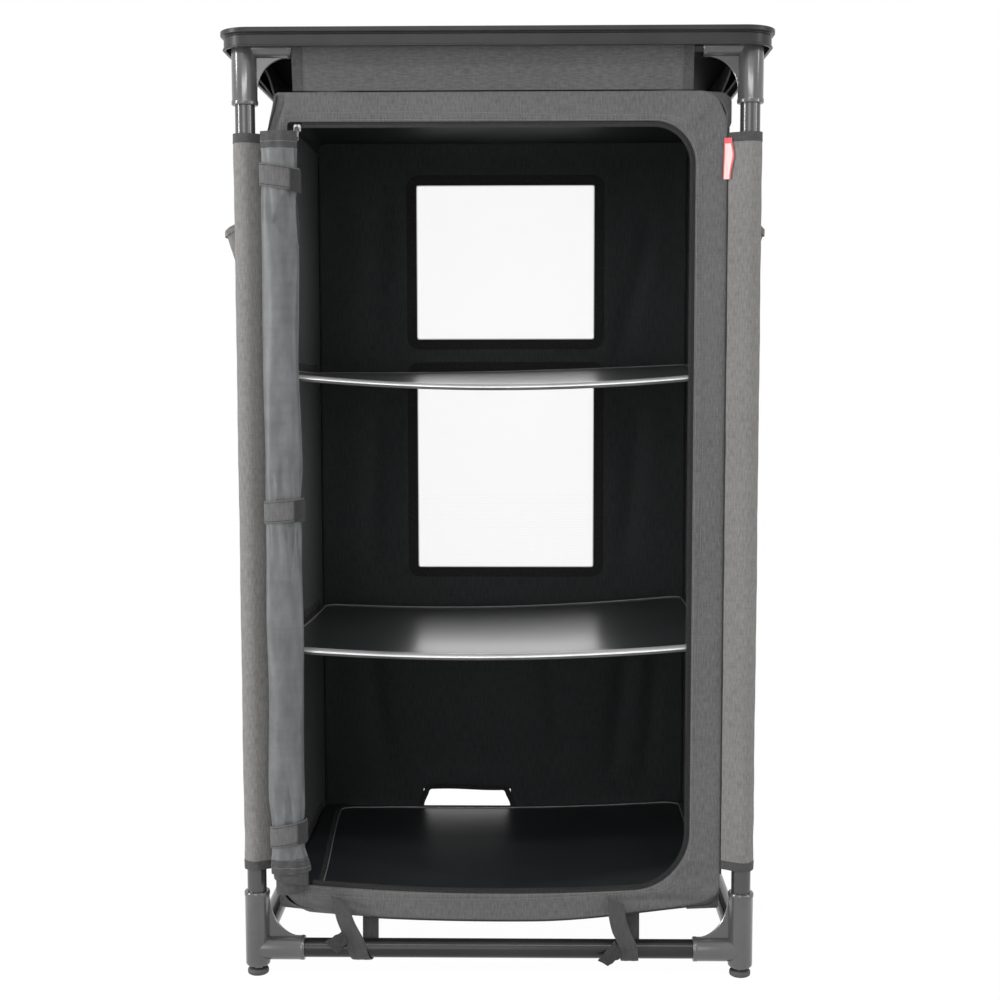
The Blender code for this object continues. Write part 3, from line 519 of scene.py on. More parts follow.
def any_ray(add, *kinds):
    """1 for a ray of any of these kinds and 0 for the others."""
    path_node = add("LightPath")
    value = path_node.outputs[kinds[0]]
    for kind in kinds[1:]:
        value = add("Math", {0: value, 1: path_node.outputs[kind]}, operation="MAXIMUM").outputs[0]
    return value


# World: even and soft on the object, white where it is seen or mirrored
world = bpy.data.worlds.new("white_studio")
bpy.context.scene.world = world
world.use_nodes = True
tree = world.node_tree
add = node_maker(tree)
soft = tree.nodes["Background"]
soft.inputs["Color"].default_value = (1, 1, 1, 1)
soft.inputs["Strength"].default_value = 0.42
bright = add("Background", {"Color": (1, 1, 1, 1), "Strength": 1.0})
seen = any_ray(add, "Is Camera Ray", "Is Glossy Ray", "Is Transmission Ray")
blend = add("MixShader", {0: seen, 1: soft.outputs[0], 2: bright.outputs[0]})
tree.links.new(blend.outputs[0], tree.nodes["World Output"].inputs["Surface"])

# Floor: pale, bright where the camera sees it, still taking the object's shadow
floor_mesh = bpy.data.meshes.new("studio_floor")
floor_mesh.from_pydata([(-6, -6, 0), (6, -6, 0), (6, 6, 0), (-6, 6, 0)], [], [(0, 1, 2, 3)])
floor = bpy.data.objects.new("studio_floor", floor_mesh)
bpy.context.scene.collection.objects.link(floor)
floor_paint = bpy.data.materials.new("studio_floor")
floor_paint.use_nodes = True
tree = floor_paint.node_tree
add = node_maker(tree)
matt = tree.nodes["Principled BSDF"]
matt.inputs["Base Color"].default_value = (0.86, 0.86, 0.86, 1)
matt.inputs["Roughness"].default_value = 0.9
glow = add("Emission", {"Strength": 1.014})
share = add("Math", {0: any_ray(add, "Is Camera Ray", "Is Glossy Ray"), 1: 0.97}, operation="MULTIPLY")
blend = add("MixShader", {0: share.outputs[0], 1: matt.outputs[0], 2: glow.outputs[0]})
tree.links.new(blend.outputs[0], tree.nodes["Material Output"].inputs["Surface"])
floor_mesh.materials.append(floor_paint)

bpy.context.scene.view_settings.view_transform = "Standard"


# Frame tubes
def tubes():
    """Round tubes: two short turned edges and a straight run between them."""
    names = [f"leg_{corner}" for corner in CORNERS]
    names += [f"{level}_rail_{side}" for level in ("top", "bottom") for side in SIDES]
    for name in names:
        low, high = np.array(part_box(name))
        run = int(np.argmax(high - low))
        others = [a for a in range(3) if a != run]
        radius = (high - low)[others].max() / 2
        middle = (low + high) / 2
        edge = 0.0006
        profile = [(radius - edge, low[run]), (radius, low[run] + edge),
                   (radius, high[run] - edge), (radius - edge, high[run])]
        tube = turned(profile, middle[others], "XYZ"[run], steps=48)
        # Rails get the darker copy of the leg paint: painted shade.
        paint = leg_paint if name.startswith("leg") else rail_paint_painted_shade
        build(name + "_tube", [tube], paint, name)


tubes()


# Corner connectors
def socket(radius, closed_end, mouth, center, axis, lip=0.0006):
    """A socket with a rounded closed end and a slightly thicker, bevelled mouth."""
    way = math.copysign(1, mouth - closed_end)
    profile = [(radius * 0.55, 0), (radius * 0.90, 0.0005), (radius * 0.985, 0.0018), (radius, 0.0034)]
    length = abs(mouth - closed_end)
    outer = radius + lip
    profile += [(radius, length - 0.0054), (outer, length - 0.0046), (outer, length - 0.0012),
                (outer - 0.0006, length - 0.0002), (radius - 0.0006, length), (radius - 0.0022, length)]
    profile = np.array(profile)
    profile[:, 1] = closed_end + way * profile[:, 1]
    return turned(profile, center, axis, steps=48)


def web(corner, reach, rise, half, axis, center, sides):
    """A web in the corner of two arms. Its free edge is a quarter ellipse, (1 + cos, 1 - sin) of
    reach and rise, rounded across its thickness; its other edges are sunk into the arms."""
    a, b = corner
    sign, sink = math.copysign(1, rise), 0.004
    angle = np.linspace(math.pi, math.pi / 2, 17)
    free = np.stack([a + reach * (1 + np.cos(angle)), b + rise * (1 - np.sin(angle))], axis=1)
    inner = np.concatenate([
        np.linspace((a - sink, b + rise), (a - sink, b - sign * sink), 9),
        np.linspace((a - sink, b - sign * sink), (a + reach, b - sign * sink), 9)[1:]])
    pull = unit(inner - free)
    places = [(inner, half), (free + pull * 0.0009, half), (free, half * 0.45), (free, -half * 0.45),
              (free + pull * 0.0009, -half), (inner, -half)]
    columns = []
    for line, offset in places:
        x = line[:, 0] * sides[0] if axis == "X" else np.full(len(line), offset)
        y = line[:, 0] * sides[1] if axis == "Y" else np.full(len(line), offset)
        columns.append(np.stack([center[0] + x, center[1] + y, line[:, 1]], axis=-1))
    return shell(np.stack(columns, axis=1), wrap=True, ends=True)


def connectors():
    """At each corner three overlapping sockets and two webs. A plan is the arms' height, radius and
    reach, and the reach and rise of the webs."""
    top_rail, low_rail = (np.mean(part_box(f"{level}_rail_front"), axis=0)[2] for level in ("top", "bottom"))
    upright = 0.0138
    plans = {"top": (top_rail, 0.0106, 0.052, 0.034, -0.036),
             "bottom": (low_rail, 0.0135, 0.054, 0.036, 0.050)}
    for level, (arm_z, arm, arm_reach, reach, rise) in plans.items():
        for name, (sx, sy) in CORNERS.items():
            node = f"{level}_connector_{name}"
            low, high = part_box(node)[0][2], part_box(node)[1][2]
            x, y = sx * LEG_X, sy * LEG_Y
            ends = (high, low) if level == "top" else (low, high)
            edge = arm_z + math.copysign(arm, rise)
            shells = [
                socket(upright, *ends, (x, y), "Z"),
                socket(arm, x, x - sx * arm_reach, (y, arm_z), "X", 0.0004),
                socket(arm, y, y - sy * arm_reach, (x, arm_z), "Y", 0.0004),
            ]
            shells += [web((upright, edge), reach, rise, 0.0015, axis, (x, y), (-sx, -sy)) for axis in "XY"]
            build(f"{level}_corner_{name}", shells, connector_plastic, node)


def feet():
    """A rounded rubber pad with a six-sided steel nut and a threaded stem above it."""
    for name, (sx, sy) in CORNERS.items():
        center = (sx * LEG_X, sy * LEG_Y)
        pad = [(0.0085, 0), (0.0104, 0.0002), (0.0116, 0.0011), (0.0120, 0.0024), (0.0119, 0.0050),
               (0.0112, 0.0064), (0.0098, 0.0071), (0.0060, 0.0072)]
        nut = [(0.0058, 0.0072), (0.0075, 0.0076), (0.0075, 0.0096), (0.0058, 0.0100)]
        height = np.linspace(0.0100, 0.0340, 97)
        thread = np.stack([0.0038 + 0.0002 * np.cos(height * TAU / 0.001), height], axis=1)
        shells = [turned(pad, center),
                  turned(nut, center, steps=6, start=0.26, part=1),
                  turned(thread, center, steps=20, part=1)]
        build(f"foot_{name}", shells, [foot_rubber, zinc], f"levelling_foot_{name}", f"foot_{name}")


connectors()
feet()


# Outlines
def round_rect(x0, x1, y0, y1, radii, steps=10, runs=(1, 1, 1, 1)):
    """Counterclockwise outline of a rectangle. radii and corners go low left, low right, high
    right, high left; runs counts the points between corners: bottom, right, top, left."""
    marks = ((x0, y0, 1, 1, 2), (x1, y0, -1, 1, 3), (x1, y1, -1, -1, 4), (x0, y1, 1, -1, 5))
    arcs = []
    for radius, (x, y, ax, ay, quarter) in zip(radii, marks):
        angle = (quarter + np.linspace(0, 1, steps)) * math.pi / 2
        middle = (x + ax * radius, y + ay * radius)
        arcs.append(middle + radius * np.stack([np.cos(angle), np.sin(angle)], axis=1))
    line = []
    for arc, after, run in zip(arcs, arcs[1:] + arcs[:1], runs):
        line += [arc, np.linspace(arc[-1], after[0], run + 2)[1:-1]]
    return np.concatenate(line)


# Tabletop
def tabletop():
    """The rim's section swept round the rounded outline, and a laminated board flush with its lip."""
    x, y, corner, z = -cad_size[0][0], -cad_size[0][1], 0.035, TOP_Z

    def ring(inset, height):
        """The tabletop's outline, drawn in by inset, at a height."""
        bounds = (-x + inset, x - inset, -y + inset, y - inset)
        line = round_rect(*bounds, (corner - inset,) * 4, 14, (3, 3, 3, 3))
        return np.column_stack([line, np.full(len(line), height)])

    section = filleted([
        (0, z - 0.0004), (-0.0006, z), (-0.0120, z), (-0.0120, z - 0.0014), (-0.0064, z - 0.0014),
        (-0.0064, z - 0.0065), (-0.0100, z - 0.0065), (-0.0100, z - 0.0077), (-0.0061, z - 0.0077),
        (-0.0061, z - 0.0200), (-0.0023, z - 0.0200), (-0.0023, z - 0.0182), (-0.0035, z - 0.0182),
        (-0.0035, z - 0.0076), (-0.0047, z - 0.0064), (-0.0035, z - 0.0052), (0, z - 0.0052)],
        0.0007, 3, closed=True)
    build("rim", [swept(ring(0.0, 0.0), section, wrap_path=True)], rim_plastic, "tabletop_rim")
    profile = ((0.0070, 0.0065), (0.0064, 0.0059), (0.0064, 0.0015), (0.0123, 0.0015),
               (0.0123, 0.0004), (0.0126, 0.0001), (0.0132, 0.0))
    rows = [ring(inset, z - drop) for inset, drop in profile]
    build("board", [shell(rows, wrap=True, ends=True)], laminate, "tabletop_board")


tabletop()


# Fabric box
# Door opening: left, right, foot and top, its radii from the low left corner on, and its sag
DOOR = (-0.2280, 0.2155, 0.1035, 0.9540)
DOOR_RADII = (0.012, 0.062, 0.046, 0.004)
DOOR_SAG = 0.0095
HEM_Z, HEM_SAG = 0.0730, 0.0104
# Points on the straight runs and round each corner, the same for the opening and the panel's edge
RUNS, CORNER_STEPS = (70, 110, 70, 120), 16
TOP_PULL = 0.0076
# Distance of the front panel's seams from the opening
FRONT_SEAMS = {"inner": 0.0022, "outer": 0.0104}


def sag(line, half, drop, low, over):
    """Lowers the foot of an outline: drop times 1 - (x / half)^2, fading out over a height."""
    share = ease(1 - (line[:, 1] - low) / over)
    line[:, 1] -= drop * np.clip(1 - (line[:, 0] / half) ** 2, 0, 1) * share
    return line


def opening(grow=0.0):
    """The door opening's outline, larger by grow all round."""
    x0, x1, z0, z1 = DOOR
    radii = [r + grow for r in DOOR_RADII]
    line = round_rect(x0 - grow, x1 + grow, z0 - grow, z1 + grow, radii, CORNER_STEPS, RUNS)
    return sag(line, x1, DOOR_SAG, z0 - grow, 0.05)


def hem_lift(x, z):
    """How far the box's hem is lifted: towards the right, and only near the foot."""
    return 0.0105 * ease((x - 0.04) / 0.21) * ease(1.5 - (z - HEM_Z) / 0.04)


def top_share(z):
    """0 on most of the height, rising to 1 at the top corners."""
    return ease((z - 0.938) / 0.048)


def box_edge():
    """The outline of the front panel: drawn in at its left corners, and its hem lifted at the right."""
    radii = (0.036, 0.018, 0.030, 0.006)
    line = round_rect(-BOX_X, BOX_X, HEM_Z, BOX_TOP, radii, CORNER_STEPS, RUNS)
    x, z = sag(line, BOX_X, HEM_SAG, HEM_Z, 0.036).T
    left, right = ease((-0.20 - x) / 0.04), ease((x - 0.20) / 0.04)
    pull = TOP_PULL * top_share(z) + 0.0060 * ease((0.118 - z) / 0.03)
    x = x + left * pull - right * 0.0035 * np.exp(-((z - 0.968) / 0.014) ** 2)
    return np.stack([x, z + hem_lift(x, z)], axis=1)


def front_relief(x, z):
    """How far the front cloth stands out: broad unevenness and the creases near the corners."""
    return with_creases(ripple(x, z, 0.0011, 0.11), x, z, (
        ((0.168, 0.918), (0.236, 0.976), 0.009, 0.0044), ((0.185, 0.905), (0.244, 0.930), 0.006, -0.0034),
        ((0.196, 0.890), (0.246, 0.902), 0.005, 0.0028), ((0.120, 0.966), (0.200, 0.982), 0.006, -0.0026),
        ((-0.243, 0.972), (-0.226, 0.986), 0.005, -0.0018),
        ((-0.232, 0.985), (-0.243, 0.945), 0.0035, -0.0030),
        ((-0.222, 0.984), (-0.236, 0.945), 0.006, 0.0018), ((0.150, 0.112), (0.222, 0.092), 0.008, 0.0046),
        ((0.176, 0.128), (0.240, 0.102), 0.006, -0.0038), ((0.190, 0.140), (0.244, 0.126), 0.005, 0.0028),
        ((0.120, 0.086), (0.236, 0.090), 0.0030, -0.0022), ((-0.235, 0.096), (-0.160, 0.076), 0.006, 0.0026),
        ((-0.215, 0.090), (-0.120, 0.070), 0.0035, -0.0020)))


def front_panel():
    """Rows run from the opening's edge to the box's edge, close together at the folded edges and
    the two seams; each row's depth is the edge's roll, the seams' grooves and the relief."""
    inner, outer = opening(), box_edge()
    width = np.linalg.norm(outer - inner, axis=1)
    fit = np.minimum(width / 0.0210, 1)[None]
    near = np.array([0, 0.3, 0.9, 1.7, 2.2, 2.7, 4.0, 6.2, 8.6, 9.9, 10.4, 10.9, 12.5])[:, None] * fit / 1000
    far = np.array([6.5, 4.5, 3.0, 1.8, 0.9, 0.3, 0])[:, None] * fit / 1000
    start, stop = near[-1], width - far[0]
    middle = start[None] + (stop - start)[None] * np.linspace(0, 1, 8)[1:-1, None]
    away = np.concatenate([near, middle, width[None] - far])
    share = (away / width)[..., None]
    flat = inner[None] * (1 - share) + outer[None] * share
    x, z = flat[..., 0], flat[..., 1]
    seam = sum(np.exp(-((away - place) / 0.0005) ** 2) for place in FRONT_SEAMS.values())
    pucker = np.sin(run_along(inner) * TAU / 0.0075)[None] * np.exp(-((away - 0.0063) / 0.004) ** 2)
    roll_in = np.exp(-away / 0.0006) * 0.0011
    roll_out = np.exp(-(width[None] - away) / 0.0012) * 0.0018
    out = 0.0006 + 0.0005 * np.exp(-((away - 0.0063) / 0.0035) ** 2) - 0.0004 * seam + 0.00018 * pucker
    fade = ease((width[None] - away) / 0.012) * ease(away / 0.010)
    out = out + front_relief(x, z) * fade - roll_in - roll_out
    tuck = ease((np.abs(x) - 0.12) / 0.10) * ease(1 - (z - 0.066 - 0.022 * (x / BOX_X) ** 6) / 0.010)
    front = np.stack([x, FACE_Y - out + 0.0045 * tuck, z], axis=-1)
    back_y = FACE_Y + 0.0016
    front[..., 1] = np.minimum(front[..., 1], back_y + 0.003 * tuck - 0.0003)
    edges = [-1, 0]
    back = np.stack([x[edges], back_y + 0.003 * tuck[edges], z[edges]], axis=-1)
    grid = np.concatenate([front, back, front[:1]])
    halves = [shell(rows, wrap=True, flip=True, cloth_map=rows[..., [0, 2]], part=part)
              for part, rows in enumerate((grid[:len(front) + 1], grid[len(front):]))]
    piece = build("front_cloth", [joined(*halves)], [outer_cloth, lining], "front_panel")
    for title, place in FRONT_SEAMS.items():
        share = place / width[:, None]
        line = inner * (1 - share) + outer * share
        relief = front_relief(*line.T) * ease((width - place) / 0.012) * ease(place / 0.010)
        stitches(f"front_seam_{title}", stood(line, FACE_Y - 0.0006 - relief), (0, -1, 0), closed=True)
    return piece


def resampled(line, pitch, closed=False):
    """Points and directions at even steps along a line."""
    line = np.asarray(line, float)
    if closed:
        line = np.concatenate([line, line[:1]])
    run = run_along(line)
    count = max(int(run[-1] / pitch), 1)
    at = (np.arange(count) + 0.5) * run[-1] / count
    points = np.stack([np.interp(at, run, line[:, i]) for i in range(3)], axis=1)
    ahead = np.stack([np.interp(at + pitch * 0.2, run, line[:, i]) for i in range(3)], axis=1)
    return points, unit(ahead - points)


def beads(points, along, out, length, width, rise, material, title, slant=0.0):
    """A row of small stitches: each a blunt six-sided rod, length by width, standing rise proud."""
    out = np.broadcast_to(out, points.shape)
    side = unit(np.cross(along, out))
    along = unit(along + side * slant)
    side = unit(np.cross(along, out))
    place = np.array([-0.5, -0.42, 0.42, 0.5])[:, None, None] * length
    size = np.array([0.35, 1.0, 1.0, 0.35])[:, None, None]
    angle = (np.arange(6) * TAU / 6)[:, None]
    rods = (points[:, None, None] + along[:, None, None] * place
            + side[:, None, None] * (size * (np.cos(angle) * width / 2))
            + out[:, None, None] * (size * (np.sin(angle) * rise)))
    i, j = np.meshgrid(np.arange(3), np.arange(6), indexing="ij")
    k = (j + 1) % 6
    quads = np.stack([i * 6 + j, i * 6 + k, (i + 1) * 6 + k, (i + 1) * 6 + j], axis=-1).reshape(-1, 4)
    caps = np.array([[0, 5, 4, 3], [0, 3, 2, 1], [18, 19, 20, 21], [18, 21, 22, 23]])
    quads = np.concatenate([quads, caps])
    faces = (quads[None] + (np.arange(len(points)) * 24)[:, None, None]).reshape(-1, 4)
    corners = np.zeros((len(faces), 4, 2)) + np.arange(len(faces))[:, None, None] * 0.003
    build(title, [(rods.reshape(-1, 3), [(faces, corners, 0)])], material)


def stitches(title, line, out, closed=False, pitch=0.0034, material=None):
    """A sewn line: one thread bead for each stitch."""
    points, along = resampled(line, pitch, closed)
    beads(points, along, out, pitch * 0.78, 0.0006, 0.00035, material or thread, title)


front_cloth = front_panel()


def stations(marks, step):
    """Places about a step apart that take in every mark."""
    counts = [max(int(round((b - a) / step)), 1) for a, b in zip(marks, marks[1:])]
    runs = [np.linspace(a, b, count + 1)[:-1] for a, b, count in zip(marks, marks[1:], counts)]
    return np.append(np.concatenate(runs), marks[-1])


# Zip tape and its coil
def zip_tape():
    """A band behind the opening's edge, open at the left, with a tooth every 1.3 mm."""
    rows = [opening(grow) for grow in (0.0070, 0.0030, -0.0008, -0.0030, -0.0048)]
    keep = np.flatnonzero(rows[0][:, 0] > -0.214)
    split = int(np.argmax(np.diff(keep))) + 1 if np.diff(keep).max() > 1 else 0
    keep = np.roll(keep, -split)
    grid = np.stack([stood(row[keep], FACE_Y + 0.0020) for row in rows])
    tape = thickened(shell(grid, cloth_map=grid[..., [0, 2]]), 0.0010)
    build("zip_tape", [tape], tape_weave, "door_zip_tape")
    points, along = resampled(stood(rows[-1][keep], FACE_Y + 0.0019), 0.0013)
    across = np.cross(along, (0, 1, 0))
    beads(points, across, (0, -1, 0), 0.0030, 0.0009, 0.0006, coil_nylon, "zip_coil")


zip_tape()


# Rear panel, its windows and its cable slot
WINDOWS = {level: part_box(f"{level}_mesh_window") for level in ("upper", "lower")}
CABLE_SLOT = (-0.111, 0.010, 0.0765, 0.1010)
NET_GAP = 0.0003
HOLES = [(low[0] - NET_GAP, high[0] + NET_GAP, low[2] - NET_GAP, high[2] + NET_GAP)
         for low, high in WINDOWS.values()] + [CABLE_SLOT]
REAR_IN = REAR_Y - 0.0016
REAR_FOOT = 0.0735


def rear_relief(x, z):
    """How far the rear cloth stands out behind: never inwards, level at edges, windows and slot."""
    out = with_creases(0.0014 + ripple(x, z, 0.0013, 0.15, 1.0), x, z, (
        ((0.150, 0.110), (0.176, 0.350), 0.012, 0.0042), ((0.196, 0.100), (0.214, 0.330), 0.010, 0.0034),
        ((0.085, 0.130), (0.060, 0.330), 0.014, 0.0036), ((-0.160, 0.120), (-0.190, 0.330), 0.013, 0.0036),
        ((0.170, 0.420), (0.185, 0.640), 0.012, 0.0030), ((-0.175, 0.700), (-0.165, 0.940), 0.014, 0.0026),
        ((0.160, 0.700), (0.205, 0.900), 0.011, 0.0026), ((-0.180, 0.400), (-0.172, 0.650), 0.012, 0.0030)))
    for x0, x1, z0, z1 in HOLES:
        away = np.hypot(np.maximum(np.maximum(x0 - x, x - x1), 0), np.maximum(np.maximum(z0 - z, z - z1), 0))
        out = out * ease((away - 0.014) / 0.025)
    side = np.minimum(BOX_X - np.abs(x), np.minimum(z - REAR_FOOT, BOX_TOP - z))
    return np.maximum(out, 0) * ease(side / 0.02)


def rear_panel():
    """A grid with lines on the borders of the holes, whose cells are left out."""
    corner, foot, even = 0.015, 0.002, 0.2
    x = stations((-BOX_X, -0.117, -0.111, 0.010, 0.1246, BOX_X), 0.008)
    z = stations((0.0885, 0.1010, 0.411, 0.680, 0.722, 0.930, BOX_TOP - corner), 0.008)
    near_foot = REAR_FOOT + np.array([0, 0.0004, 0.0020, 0.0065, 0.0105])
    near_top = BOX_TOP - np.array([0.010, 0.006, 0.003, 0.001, 0])
    x, z = np.meshgrid(x, np.concatenate([near_foot, z, near_top]))
    half = (BOX_TOP - REAR_FOOT) / 2
    radius = np.where(z > REAR_FOOT + half, corner, foot)
    over = np.maximum(np.abs(z - REAR_FOOT - half) - (half - radius), 0)
    reach = BOX_X - radius + np.sqrt(np.maximum(radius ** 2 - over ** 2, 0))
    drawn_in = even + (np.abs(x) - even) * (reach - even) / (BOX_X - even)
    x = np.where(np.abs(x) > even, np.sign(x) * drawn_in, x)
    grid = np.stack([x, REAR_IN + rear_relief(x, z), z], axis=-1)

    def in_hole(p):
        """Whether a point lies in a window or in the cable slot."""
        return np.any([(p[:, 0] > x0) & (p[:, 0] < x1) & (p[:, 2] > z0) & (p[:, 2] < z1)
                       for x0, x1, z0, z1 in HOLES], axis=0)

    rear = thickened(cut_away(shell(grid, cloth_map=grid[..., [0, 2]]), in_hole), 0.0016)
    return build("rear_cloth", [rear], [lining, outer_cloth], "rear_panel")


def rear_bindings():
    """A tape folded over the edge of each hole. The slot's is narrower, and its mouth leans in."""
    tape = np.array([(-0.0006, -0.0011), (-0.0011, 0), (-0.0006, 0.0011), (0.0112, 0.0014), (0.0124, 0.0010),
                     (0.0124, -0.0010), (0.0112, -0.0014)])
    edges = []
    for hole in HOLES:
        width, radii = 1.0, (0.004,) * 4
        if hole == CABLE_SLOT:
            width, radii = 0.55, (0.0016, 0.0016, 0.004, 0.004)
        line = round_rect(*hole, radii, 6, (30, 30, 30, 30))
        if hole == CABLE_SLOT:
            x0, x1, z0, z1 = hole
            middle = (x0 + x1) / 2
            high = ease((line[:, 1] - z0) / (z1 - z0))
            beside = ease(np.abs(line[:, 0] - middle) / 0.04)
            line[:, 0] += high * 0.0075 * np.sign(middle - line[:, 0]) * beside
            line[:, 1] += high * (0.0010 * np.sin((line[:, 0] - x0) * 48) - 0.0008)
        edges.append(swept(stood(line, REAR_IN + 0.0008), tape * (width, 1), (0, -1, 0), wrap_path=True))
    build("window_bindings", edges, tape_weave)


def nets():
    """A net over each window, sewn to the rear panel close to its edge."""
    inset = 0.0014
    for level, (low, high) in WINDOWS.items():
        x, z = np.meshgrid(np.linspace(low[0], high[0], 25), np.linspace(low[2], high[2], 25))
        grid = np.stack([x, 0 * x + low[1] + 0.0002, z], axis=-1)
        net = thickened(shell(grid, cloth_map=grid[..., [0, 2]]), 0.0004)
        piece = build(f"{level}_net", [net], net_cloth, f"{level}_mesh_window")
        edge = (low[0] + inset, high[0] - inset, low[2] + inset, high[2] - inset)
        line = round_rect(*edge, (0.003,) * 4, 5, (24, 24, 24, 24))
        points, along = resampled(stood(line, REAR_IN + 0.0001), 0.0032, closed=True)
        beads(points, along, (0, -1, 0), 0.0028, 0.0007, 0.0003, hem_tape, f"{level}_net_seam",
              slant=0.9)


def corded_seam(title, path, radius):
    """A thin cord along a path that runs up or across the front or the rear of the box."""
    build(title, [swept(path, round_section(radius), (0, 1, 0))], tape_weave)


def rear_seams():
    """The corded seams inside the box's rear corners."""
    z = stations((0.080, 0.966), 0.012)
    for title, side in HANDS.items():
        x = side * (BOX_X - 0.0034 + 0.0003 * np.sin(z * 40))
        corded_seam(f"rear_corner_seam_{title}", stood(np.column_stack([x, z]), REAR_IN - 0.0012), 0.0013)


rear_cloth = rear_panel()
rear_bindings()
nets()
rear_seams()


# Sides and roof of the box in one length of cloth
WRAP_FRONT, WRAP_REAR, WRAP_FOOT = -0.2197, 0.1917, 0.0732


def wrap_line(y):
    """The box's outline at a depth: its low corners open out behind the front panel, its hem lifts
    with the panel's, and its top corners bulge towards the front legs."""
    behind = y - WRAP_FRONT
    back, opened = ease(behind / 0.20), ease(behind / 0.0135)
    high = (0.030 - 0.021 * ease(behind / 0.012) + 0.006 * back, 0.008 + 0.007 * back)
    low = 0.0365 - 0.0345 * opened
    steps = 12
    line = round_rect(-BOX_X, BOX_X, WRAP_FOOT, BOX_TOP, (low, low, *high), steps, (0, 120, 60, 120))
    line = np.roll(line, -steps, axis=0)
    open_edge = BOX_X - low - np.linspace(0, 0.0015 + 0.032 * opened, 7)[1:]
    under = np.column_stack([open_edge, WRAP_FOOT - np.linspace(0, 0.0014, 7)[1:]])
    line = np.concatenate([under[::-1], line, under * (-1, 1)])
    x, z = line.T
    z = z + hem_lift(x, z) * (1 - opened)
    side = np.sign(x) * ease((np.abs(x) - 0.19) / 0.05)
    front = 1 - ease((y + 0.180) / 0.07)
    puff = np.where(x > 0, 0.0066, 0.0010) * ease(behind / 0.020) * front
    x = x + side * puff * ease((z - 0.938) / 0.018) * ease((0.994 - z) / 0.016)
    x = x - side * (x < 0) * front * TOP_PULL * top_share(z)
    level = ease(behind / 0.03) * ease((WRAP_REAR - y) / 0.03)
    clear = ease((z - 0.09) / 0.04) * ease((0.96 - z) / 0.05)
    clear = clear * (1 - ease((z - 0.57) / 0.02) * ease((0.88 - z) / 0.02))
    wave = np.maximum(0.0008 + ripple(y + 0 * z, z, 0.0012, 0.13, 2.0), 0)
    wave = with_creases(wave, y + 0 * z, z, (
        ((-0.10, 0.12), (-0.14, 0.34), 0.012, 0.002), ((0.06, 0.13), (0.10, 0.33), 0.012, 0.002),
        ((0.02, 0.40), (-0.04, 0.56), 0.013, 0.002)))
    x = x + side * wave * level * clear
    dip = (1 - ease((np.abs(x) - 0.18) / 0.04)) * (z > 0.95) * level
    z = z - dip * (0.0016 + ripple(x, y + 0 * x, 0.0014, 0.12, 3.0))
    return stood(np.column_stack([x, z]), y)


def box_wrap():
    """Cross-sections at depths close together behind the front panel, lined inside."""
    turn = -0.205
    close, wide = stations((WRAP_FRONT, turn), 0.0016), stations((turn, WRAP_REAR), 0.0062)
    grid = np.stack([wrap_line(y) for y in (*close[:-1], *wide)])
    made = thickened(shell(grid, flip=True), 0.0015)
    # Inner faces below the roof take the lighter lining copy, painted light on the side walls; the roof's
    # inside keeps the black lining.
    made = parted(made, lambda middle, part: (middle[:, 2] > 0.968) & (part == 1), 2)
    nodes = ("roof_panel", "side_panel_left", "side_panel_right")
    return build("box_wrap", [made], [outer_cloth, side_lining_painted_light, lining], nodes)


wrap_cloth = box_wrap()


def corner_seams():
    """The corded seams that join the front panel to the front sleeves, and the cord of its hem. The
    left seam turns in over the panel at its top."""
    for title, side in HANDS.items():
        z = stations((0.118, 0.930, 0.982) if side < 0 else (0.118, 0.946), 0.008)
        turn = (side < 0) * ease((z - 0.930) / 0.056)
        x = side * (BOX_X + 0.0007 - 0.0122 * turn)
        y = FACE_Y + 0.0006 + 0.0003 * np.sin(z * 50) - 0.0022 * (side < 0) * ease((z - 0.930) / 0.030)
        corded_seam(f"front_corner_seam_{title}", np.column_stack([x, y, z]), 0.0011)
    line = box_edge()
    line = line[(line[:, 0] > -0.150) & (line[:, 1] < 0.104)]
    corded_seam("front_hem_cord", stood(line - (0, 0.0002), FACE_Y + 0.0002), 0.0011 * 0.9)


corner_seams()


# Shelves
def plate(x, y0, y1, radius, steps=9, runs=(34, 20)):
    """Grid over a rectangle with round corners: rows along x, shorter near both sides, and its
    points closer together towards the front."""
    turn = np.linspace(0, math.pi / 2, steps)
    side = x - radius + radius * np.sin(turn)
    across = np.concatenate([-side[::-1], np.linspace(radius - x, x - radius, runs[0] + 2)[1:-1], side])
    short = radius * (1 - np.cos(turn))
    short = np.concatenate([short[::-1], np.zeros(runs[0]), short])
    share = np.linspace(0, 1, runs[1] + 2)[None] ** 1.8
    y = (y0 + short)[:, None] * (1 - share) + (y1 - short)[:, None] * share
    return np.stack([np.broadcast_to(across[:, None], y.shape), y], axis=-1)


def border(grid):
    """The edge of such a grid, counterclockwise from above."""
    return np.concatenate([grid[:-1, 0], grid[-1, :-1], grid[:0:-1, -1], grid[0, :0:-1]])


# Hang of each shelf's front and rear edge, at its left, middle and right
HANG = {"floor": ((0, 0, 0), (0, 0.0037, 0.0058)),
        "mid_shelf": ((0.0065, 0.0058, 0.0115), (-0.0034, 0.0010, 0.0090)),
        "top_shelf": ((0.0040, -0.0010, 0.0040), (0.0010, 0.0105, 0.0115))}
# Section of the tape along a shelf and its wall: how high above the shelf, how far from the wall
WALL_TAPE = ((0.0012, 0.0006), (0.0020, 0.0011), (0.0060, 0.0011), (0.0100, 0.0008), (0.0108, 0.0003),
             (0.0060, 0.0002), (0.0016, 0.0002))


